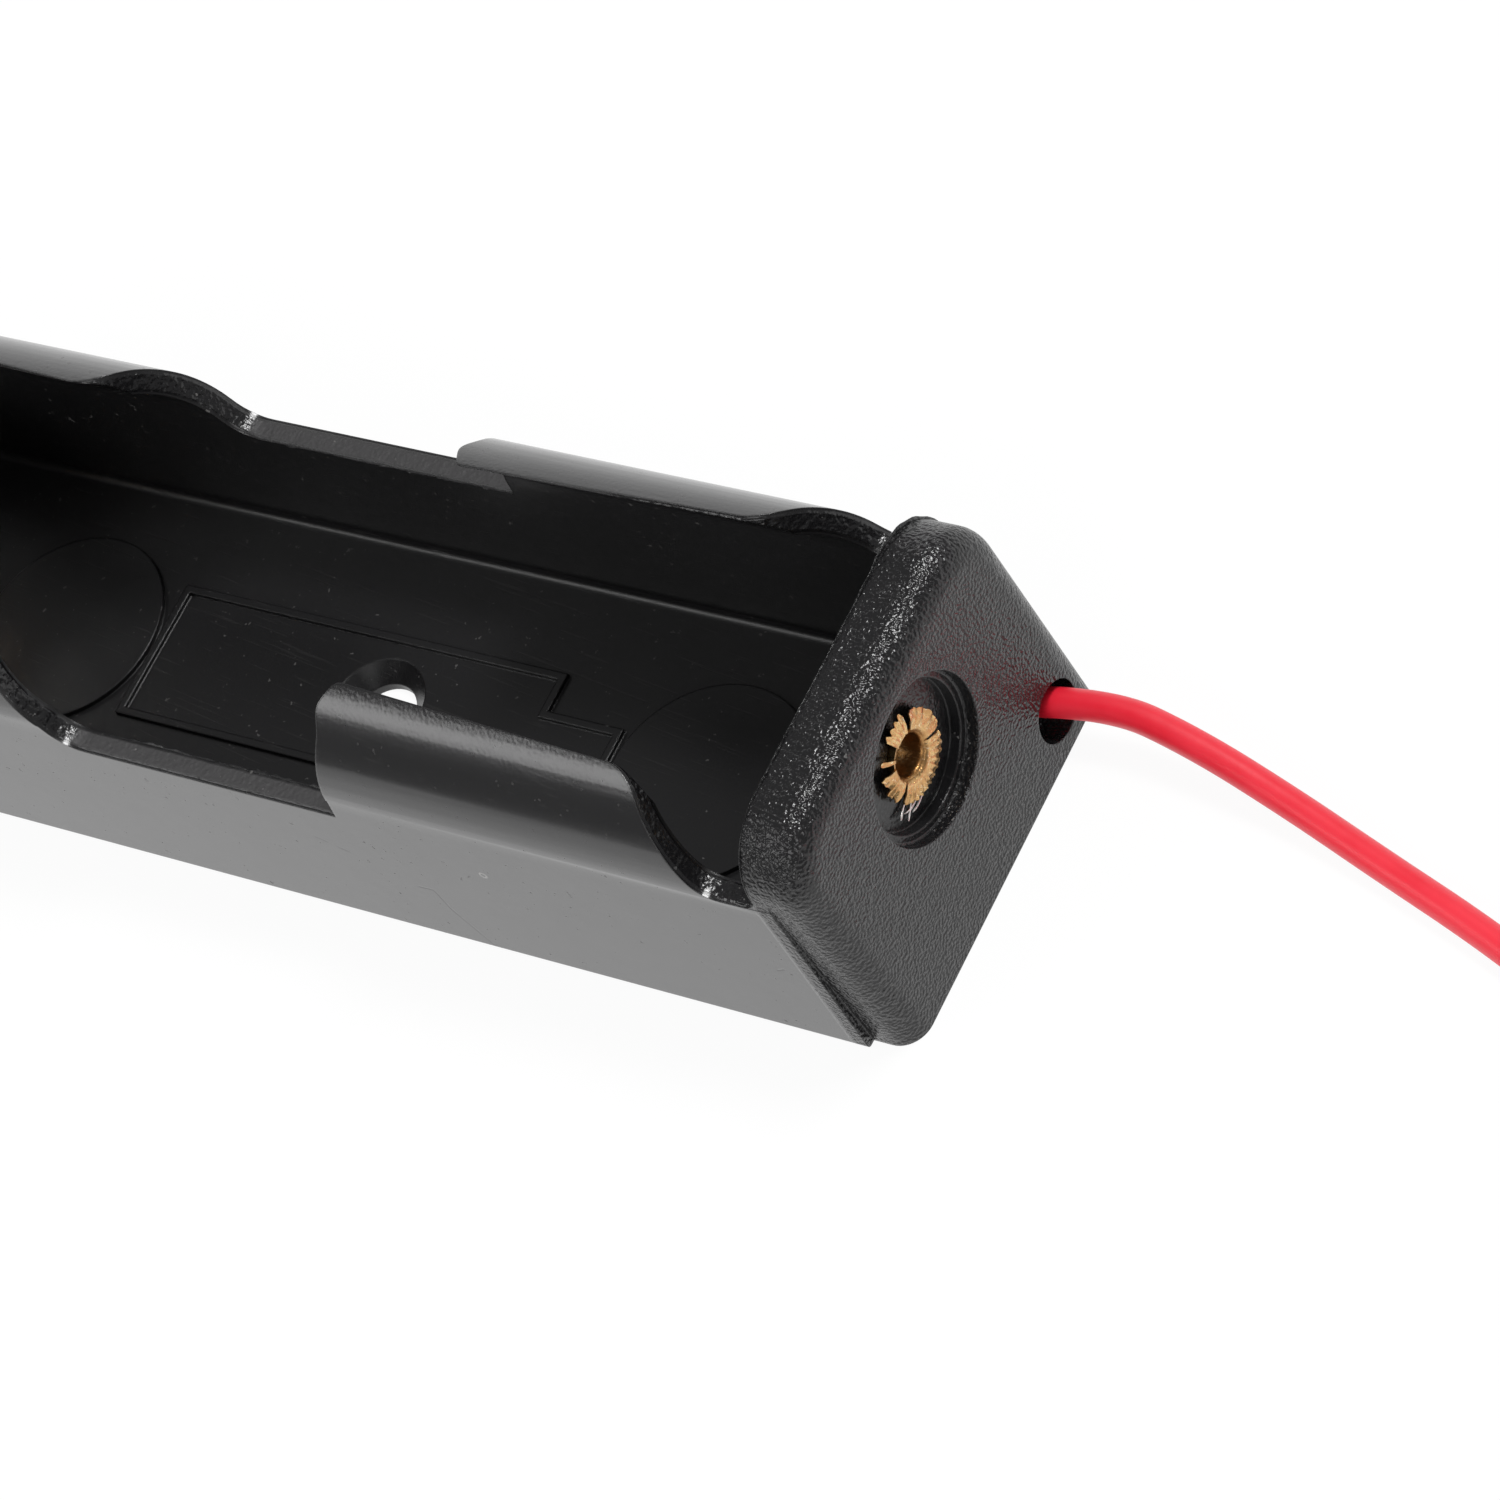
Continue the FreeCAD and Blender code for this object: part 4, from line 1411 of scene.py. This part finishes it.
    def build(self, finishes: Finishes) -> bpy.types.Object:
        """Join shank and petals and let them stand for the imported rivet.

        Args:
            finishes: the holder's materials.

        Returns:
            The new piece, declared to the frame.
        """
        whole = self.shank()
        for number, petal in enumerate(self.petals):
            whole = whole.joined(self.petal(petal, number))
        item = smooth_object(self.name, whole, 50.0)
        dress(item, finishes.brass)
        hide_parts(self.node)
        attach(item, HOLDER)
        return item


# Loose strands under the near eyelet


@dataclass
class Strands:
    """The lead's bare strands, whose ends stick out from under the split rim."""

    wire: float = 0.13
    base: float = 38.65
    axis_height: float = CELL_AXIS
    points: int = 22
    sides: int = 8
    strands: tuple[tuple[Point, ...], ...] = (
        ((-0.9, -1.3, 0.08), (-1.5, -1.7, 0.12), (-2.2, -1.75, 0.16), (-2.6, -1.90, 0.30)),
        ((-0.7, -1.5, 0.10), (-1.3, -2.0, 0.20), (-1.9, -2.15, 0.30), (-2.35, -2.30, 0.42)),
        ((0.3, -1.6, 0.08), (-0.4, -2.3, 0.14), (-1.2, -2.5, 0.20), (-2.0, -2.2, 0.22)),
        ((-0.2, -1.7, 0.22), (-0.9, -2.3, 0.28), (-1.6, -2.25, 0.34), (-2.2, -1.95, 0.25)),
        ((0.6, -1.5, 0.12), (-0.1, -2.4, 0.22), (-0.9, -2.75, 0.30), (-1.7, -2.6, 0.18)),
    )

    def strand(self, corners: tuple[Point, ...]) -> Surface:
        """Draw one strand along a cubic Bezier curve, pinched at its cut end.

        The corners are (y, z from the axis, height over the recess) and the curve is
        sum of C(3, k) t^k (1 - t)^(3 - k) corner_k.

        Args:
            corners: the curve's four control points.

        Returns:
            The closed wire.
        """
        t = np.linspace(0.0, 1.0, self.points)[:, None]
        corner = np.array(corners)
        weights = np.hstack([(1 - t) ** 3, 3 * t * (1 - t) ** 2, 3 * t * t * (1 - t), t ** 3])
        line = weights @ corner
        path = np.stack([self.base + line[:, 2], line[:, 0], self.axis_height + line[:, 1]],
                        axis=-1) * MM
        radius = self.wire / 2.0 * MM * (1.0 - 0.5 * smoothstep(t[:, 0], 0.93, 1.0))
        return swept(wire_rings(path, radius, self.sides, (1.0, 0.0, 0.0)))

    def build(self, finishes: Finishes) -> bpy.types.Object:
        """Make all strands one piece.

        Args:
            finishes: the holder's materials.

        Returns:
            The new piece, declared to the frame.
        """
        whole = self.strand(self.strands[0])
        for corners in self.strands[1:]:
            whole = whole.joined(self.strand(corners))
        item = smooth_object("bare_strands", whole)
        dress(item, finishes.tinned)
        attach(item, HOLDER)
        return item


# Spring


@dataclass
class CellSpring:
    """Conical spring of round wire, clamped by its eye under the far eyelet."""

    wire: float = 0.8
    seat: float = -36.1
    axis_height: float = CELL_AXIS
    eye_radius: float = 1.8
    eye_degrees: float = 280.0
    base_radius: float = 5.0
    tip_radius: float = 3.4
    corner: float = 0.9
    length: float = 10.9
    closed_gap: float = 0.05
    active_turns: float = 3.0
    bend_start: float = -35.2
    bend_end: float = -26.4
    eye_points: int = 60
    corner_points: int = 12
    points_per_turn: int = 64
    smoothing: int = 17
    sides: int = 16

    def centre_line(self) -> np.ndarray:
        """Lay out the wire's centre line: eye, leg, corner and coil.

        Along the coil the angle runs evenly from the top through -Y, the radius eases from
        the base's to the tip's over the active turns, and the wire advances by one
        thickness and a gap per closed turn and by an even pitch between them, which a
        running mean joins smoothly.

        Returns:
            The points of the line in metres.
        """
        eye = np.radians(np.linspace(-self.eye_degrees, 0.0, self.eye_points, endpoint=False))
        eye_line = np.stack([0.0 * eye, self.eye_radius * np.cos(eye),
                             self.eye_radius * np.sin(eye)], axis=-1)
        leg = np.linspace(
            0.0, self.base_radius - self.corner, self.corner_points, endpoint=False)
        leg_line = np.stack([0.0 * leg, 0.0 * leg + self.eye_radius, leg], axis=-1)
        turn = np.linspace(0.0, np.pi / 2.0, self.corner_points, endpoint=False)
        turn_line = np.stack([
            0.0 * turn, self.eye_radius - self.corner * (1.0 - np.cos(turn)),
            self.base_radius - self.corner * (1.0 - np.sin(turn))], axis=-1)
        closed = self.wire + self.closed_gap
        pitch = (self.length - self.wire - 2.0 * closed) / self.active_turns
        total = self.active_turns + 2.0
        s = np.linspace(0.0, total, round(total * self.points_per_turn) + 1)
        active = np.clip(s - 1.0, 0.0, self.active_turns)
        rise = closed * np.minimum(s, 1.0) + pitch * active
        rise = rise + closed * np.clip(s - 1.0 - self.active_turns, 0.0, 1.0)
        padded = np.pad(rise, self.smoothing // 2, mode="reflect", reflect_type="odd")
        rise = np.convolve(padded, np.ones(self.smoothing) / self.smoothing, mode="valid")
        share = smoothstep(active, 0.0, self.active_turns)
        radius = self.base_radius + (self.tip_radius - self.base_radius) * share
        angle = np.pi / 2.0 + 2.0 * np.pi * s
        coil = np.stack([rise, radius * np.cos(angle), radius * np.sin(angle)], axis=-1)
        line = np.vstack([eye_line, leg_line, turn_line, coil])
        return (line + np.array([self.seat, 0.0, self.axis_height])) * MM

    def build(self, finishes: Finishes) -> bpy.types.Object:
        """Carry the round wire along its line and let it stand for the imported spring.

        Args:
            finishes: the holder's materials.

        Returns:
            The new piece.
        """
        path = self.centre_line()
        radius = np.full(len(path), self.wire / 2.0 * MM)
        surface = swept(wire_rings(path, radius, self.sides, (1.0, 0.0, 0.0)))
        item = smooth_object("cell_spring", surface)
        dress(item, finishes.steel)
        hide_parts("negative_spring")
        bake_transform(item)
        return item


# Tray


@dataclass
class Flash:
    """Ragged remains of the mould's parting line on the blocks and ledges."""

    thickness: float = 0.07
    inner_face: float = 36.5
    near: float = -10.5
    far: float = 11.0
    block_top: float = 17.0
    corner: float = 3.8
    ledge: float = 10.8
    ledge_skin: float = 9.3
    ledge_start: float = -7.0
    ledge_end: float = 9.1
    ledge_points: int = 120
    rim_foot: float = 6.0
    apex: float = 7.5
    apex_width: float = 2.6
    apex_rise: float = 2.2
    rim_heights: Band = (0.02, 0.12)
    ledge_heights: Band = (-0.05, 0.22)
    lowest: float = 0.004

    def rag(self, count: int, seed: int, low: float, high: float) -> np.ndarray:
        """Heights that wander from low to high in both long and short waves.

        Args:
            count: number of heights.
            seed: start of the random numbers.
            low: lowest height.
            high: greatest height.

        Returns:
            The heights, which fade out at both ends.
        """
        u = np.linspace(0.0, 1.0, count)
        wave = 0.5 * wander(u, count // 2, seed) + 0.5 * wander(u, count // 6, seed + 1)
        fade = smoothstep(u, 0.0, 0.06) * smoothstep(1.0 - u, 0.0, 0.06)
        return (low + (high - low) * (0.5 + 0.5 * wave)) * fade

    def block_rim(self, facing: float, seed: int) -> Surface:
        """Follow a block's inner rim over its top and both large corners.

        The rim is a quarter circle, the top, another quarter circle and the far side down
        to its foot. The fin stands on it square to the outline, and its height grows by
        apex_rise exp(-((y - apex) / apex_width)^2) along the top.

        Args:
            facing: 1 for the block with the lead, -1 for the far one.
            seed: start of the random numbers.

        Returns:
            The closed fin.
        """
        quarter = np.linspace(0.0, np.pi / 2.0, 20)
        top, corner = self.block_top, self.corner
        near_y = self.near + corner - corner * np.cos(quarter)
        near_z = top - corner + corner * np.sin(quarter)
        flat_y = np.linspace(self.near + corner, self.far - corner, 70)[1:-1]
        far_y = self.far - corner + corner * np.sin(quarter)
        far_z = top - corner + corner * np.cos(quarter)
        side_z = np.linspace(top - corner, self.rim_foot, 30)[1:]
        flat, side = np.ones(len(flat_y)), np.ones(len(side_z))
        y = np.concatenate([near_y, flat_y, far_y, self.far * side])
        z = np.concatenate([near_z, top * flat, far_z, side_z])
        out_y = np.concatenate([-np.cos(quarter), 0.0 * flat, np.sin(quarter), side])
        out_z = np.concatenate([np.sin(quarter), flat, np.cos(quarter), 0.0 * side])
        x = np.full(len(y), facing * (self.inner_face + self.thickness / 2.0))
        height = self.rag(len(y), seed, *self.rim_heights)
        peak = np.exp(-((y - self.apex) / self.apex_width) ** 2) * (z > top - corner)
        path = np.stack([x, y, z], axis=-1) * MM
        out = np.stack([0.0 * y, out_y, out_z], axis=-1)
        return fin(path, out, height * (1.0 + self.apex_rise * peak) * MM, self.thickness * MM)

    def ledge_line(self, side: Side, seed: int) -> Surface:
        """Lay a torn strip along a ledge's inner edge, curling in and up from it.

        Args:
            side: wall that carries the ledge.
            seed: start of the random numbers.

        Returns:
            The closed strip.
        """
        count = self.ledge_points
        x = np.linspace(self.ledge_start, self.ledge_end, count)
        y = side.value * np.full(count, self.ledge_skin)
        path = np.stack([x, y, np.full(count, self.ledge)], axis=-1) * MM
        lift = 0.5 + 0.5 * wander(np.linspace(0.0, 1.0, count), 30, seed + 7)
        out = np.stack([0.0 * x, -side.value * np.ones(count), 0.2 + lift], axis=-1)
        height = self.rag(count, seed, *self.ledge_heights).clip(self.lowest)
        return fin(path, out, height * MM, self.thickness * MM)

    def build(self, finishes: Finishes) -> bpy.types.Object:
        """Make all the flash one piece.

        Args:
            finishes: the holder's materials.

        Returns:
            The new piece, declared to the frame.
        """
        whole = self.block_rim(1.0, 21)
        whole = whole.joined(self.block_rim(-1.0, 23))
        for side, seed in ((Side.NEAR, 25), (Side.FAR, 27)):
            whole = whole.joined(self.ledge_line(side, seed))
        item = smooth_object("mould_flash", whole, 60.0)
        dress(item, finishes.plastic)
        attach(item, HOLDER)
        return item


@dataclass(frozen=True)
class Curl:
    """Section of the walls' curled upper part: an arc about (centre_y, centre_z)."""

    centre_y: float = 4.76
    centre_z: float = 12.5
    outer: float = 5.84
    thickness: float = 1.35
    packed_centre_z: float = 11.5
    packed_inner: float = 9.25
    packed_outer: float = 10.46
    lower_from: float = 14.5
    packed_top: float = 18.65
    lowered: float = 0.72
    keep_from: float = 35.4
    keep_to: float = 36.4
    end: float = 10.7
    overrun: float = 0.6
    overrun_from: float = 16.5
    overrun_fade: float = 6.0
    corner: float = 0.2

    def bend(self, points: np.ndarray) -> np.ndarray:
        """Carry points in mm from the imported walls' wide curl onto this closer one.

        A point's share t of the wall's thickness comes from its distance to the packed
        curl's axis. Its height is eased down towards the lip, h = z - lowered q^2, where q
        runs from 0 at lower_from to 1 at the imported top. It then lies on the arc of radius
        outer - (1 - t) thickness at the angle whose sine is (h - centre_z) / outer.

        At the finger gap the lip's end runs over by overrun s(z), where s is a smooth step
        that ends at the lip, and its corner is cut down by corner (1 - s(x)) q^6.

        Args:
            points: one row of x, y and z per point.

        Returns:
            The moved points.
        """
        x, y, z = points.T
        near_end = 1.0 - smoothstep(np.abs(x - self.end), 1.0, self.overrun_fade)
        x = x - self.overrun * near_end * smoothstep(z, self.overrun_from, self.packed_top)
        spoke = np.hypot(y, z - self.packed_centre_z)
        share = np.clip((spoke - self.packed_inner) / (self.packed_outer - self.packed_inner), 0, 1)
        q = np.clip((z - self.lower_from) / (self.packed_top - self.lower_from), 0.0, 1.1)
        height = z - self.lowered * q * q
        height = height - (x > 0.0) * q ** 6 * self.corner * (
            1.0 - smoothstep(x, self.end - self.overrun, self.end - self.overrun + 1.0))
        angle = np.arcsin(np.clip((height - self.centre_z) / self.outer, 0.0, 1.0))
        radius = self.outer - (1.0 - share) * self.thickness
        bent = np.stack([x, np.sign(y) * (self.centre_y + radius * np.cos(angle)),
                         self.centre_z + radius * np.sin(angle)], axis=-1)
        weight = (z > self.centre_z) * (1.0 - smoothstep(np.abs(x), self.keep_from, self.keep_to))
        return points + weight[:, None] * (bent - points)


@dataclass
class Tray:
    """The moulded tray, with its lips curled as closely as the real ones, and the plate."""

    curl: Curl = field(default_factory=Curl)
    levels: int = 22
    end_steps: tuple[float, ...] = (0.1, 0.25, 0.45, 0.7, 1.0, 2.0, 3.5, 5.0)
    crease_degrees: float = 28.0

    def sliced(self, packed: bpy.types.Object) -> bpy.types.Mesh:
        """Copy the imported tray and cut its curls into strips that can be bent.

        The copy's points are merged first. Level cuts go through the whole curls, and
        upright ones only through the lips beside the finger gap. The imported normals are
        dropped, because they no longer fit the cut faces.

        Args:
            packed: the tray's node.

        Returns:
            The cut mesh, not yet bent.
        """
        shape = bmesh.new()
        shape.from_mesh(packed.data)
        shape.transform(packed.matrix_world)
        bmesh.ops.remove_doubles(shape, verts=shape.verts[:], dist=0.001 * MM)
        for level in np.linspace(self.curl.centre_z, self.curl.packed_top - 0.1, self.levels):
            bmesh.ops.bisect_plane(
                shape, geom=shape.verts[:] + shape.edges[:] + shape.faces[:],
                plane_co=(0.0, 0.0, level * MM), plane_no=(0.0, 0.0, 1.0))
        for step in self.end_steps:
            lips = [face for face in shape.faces
                    if face.calc_center_median().z > self.curl.lower_from * MM]
            rims = dict.fromkeys(part for face in lips for part in (*face.verts, *face.edges))
            bmesh.ops.bisect_plane(
                shape, geom=[*rims, *lips],
                plane_co=((self.curl.end + step) * MM, 0.0, 0.0), plane_no=(1.0, 0.0, 0.0))
        mesh = bpy.data.meshes.new("moulded_tray")
        shape.to_mesh(mesh)
        shape.free()
        packed_normals = mesh.attributes.get("custom_normal")
        if packed_normals is not None:
            mesh.attributes.remove(packed_normals)
        return mesh

    def build(self, finishes: Finishes) -> bpy.types.Object:
        """Bend the sliced tray as Curl.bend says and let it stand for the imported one.

        Args:
            finishes: the holder's materials.

        Returns:
            The new piece, declared to the frame.
        """
        mesh = self.sliced(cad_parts["tray"])
        points = np.empty(len(mesh.vertices) * 3)
        mesh.vertices.foreach_get("co", points)
        bent = self.curl.bend(points.reshape(-1, 3) / MM) * MM
        mesh.vertices.foreach_set("co", bent.ravel())
        soften(mesh, self.crease_degrees)
        item = linked("moulded_tray", mesh)
        weighted = item.modifiers.new("even_normals", "WEIGHTED_NORMAL")
        weighted.keep_sharp = True
        dress(item, finishes.plastic)
        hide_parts("tray")
        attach(item, HOLDER)
        dress(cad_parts["positive_contact"], finishes.nickel)
        return item


def write_sizes() -> None:
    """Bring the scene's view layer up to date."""
    bpy.context.view_layer.update()


def main() -> None:
    """Build the scene in order and report each piece."""
    logging.basicConfig(level=logging.INFO, format="%(name)s %(message)s")
    Studio().build()
    finishes = make_finishes(Effects())
    near = Eyelet("near_eyelet", "positive_rivet", NEAR_PETALS, 1.0, 35.6, 36.1, 38.78, 11)
    far = Eyelet("far_eyelet", "negative_rivet", FAR_PETALS, -1.0, 35.2, 35.7, 38.78, 31)
    for sub_assembly in (RedLead(), Tray(), Flash(), near, far, Strands(), CellSpring()):
        item = sub_assembly.build(finishes)
        log.info("made %s", item.name)
    write_sizes()


if __name__ == "__main__":
    main()
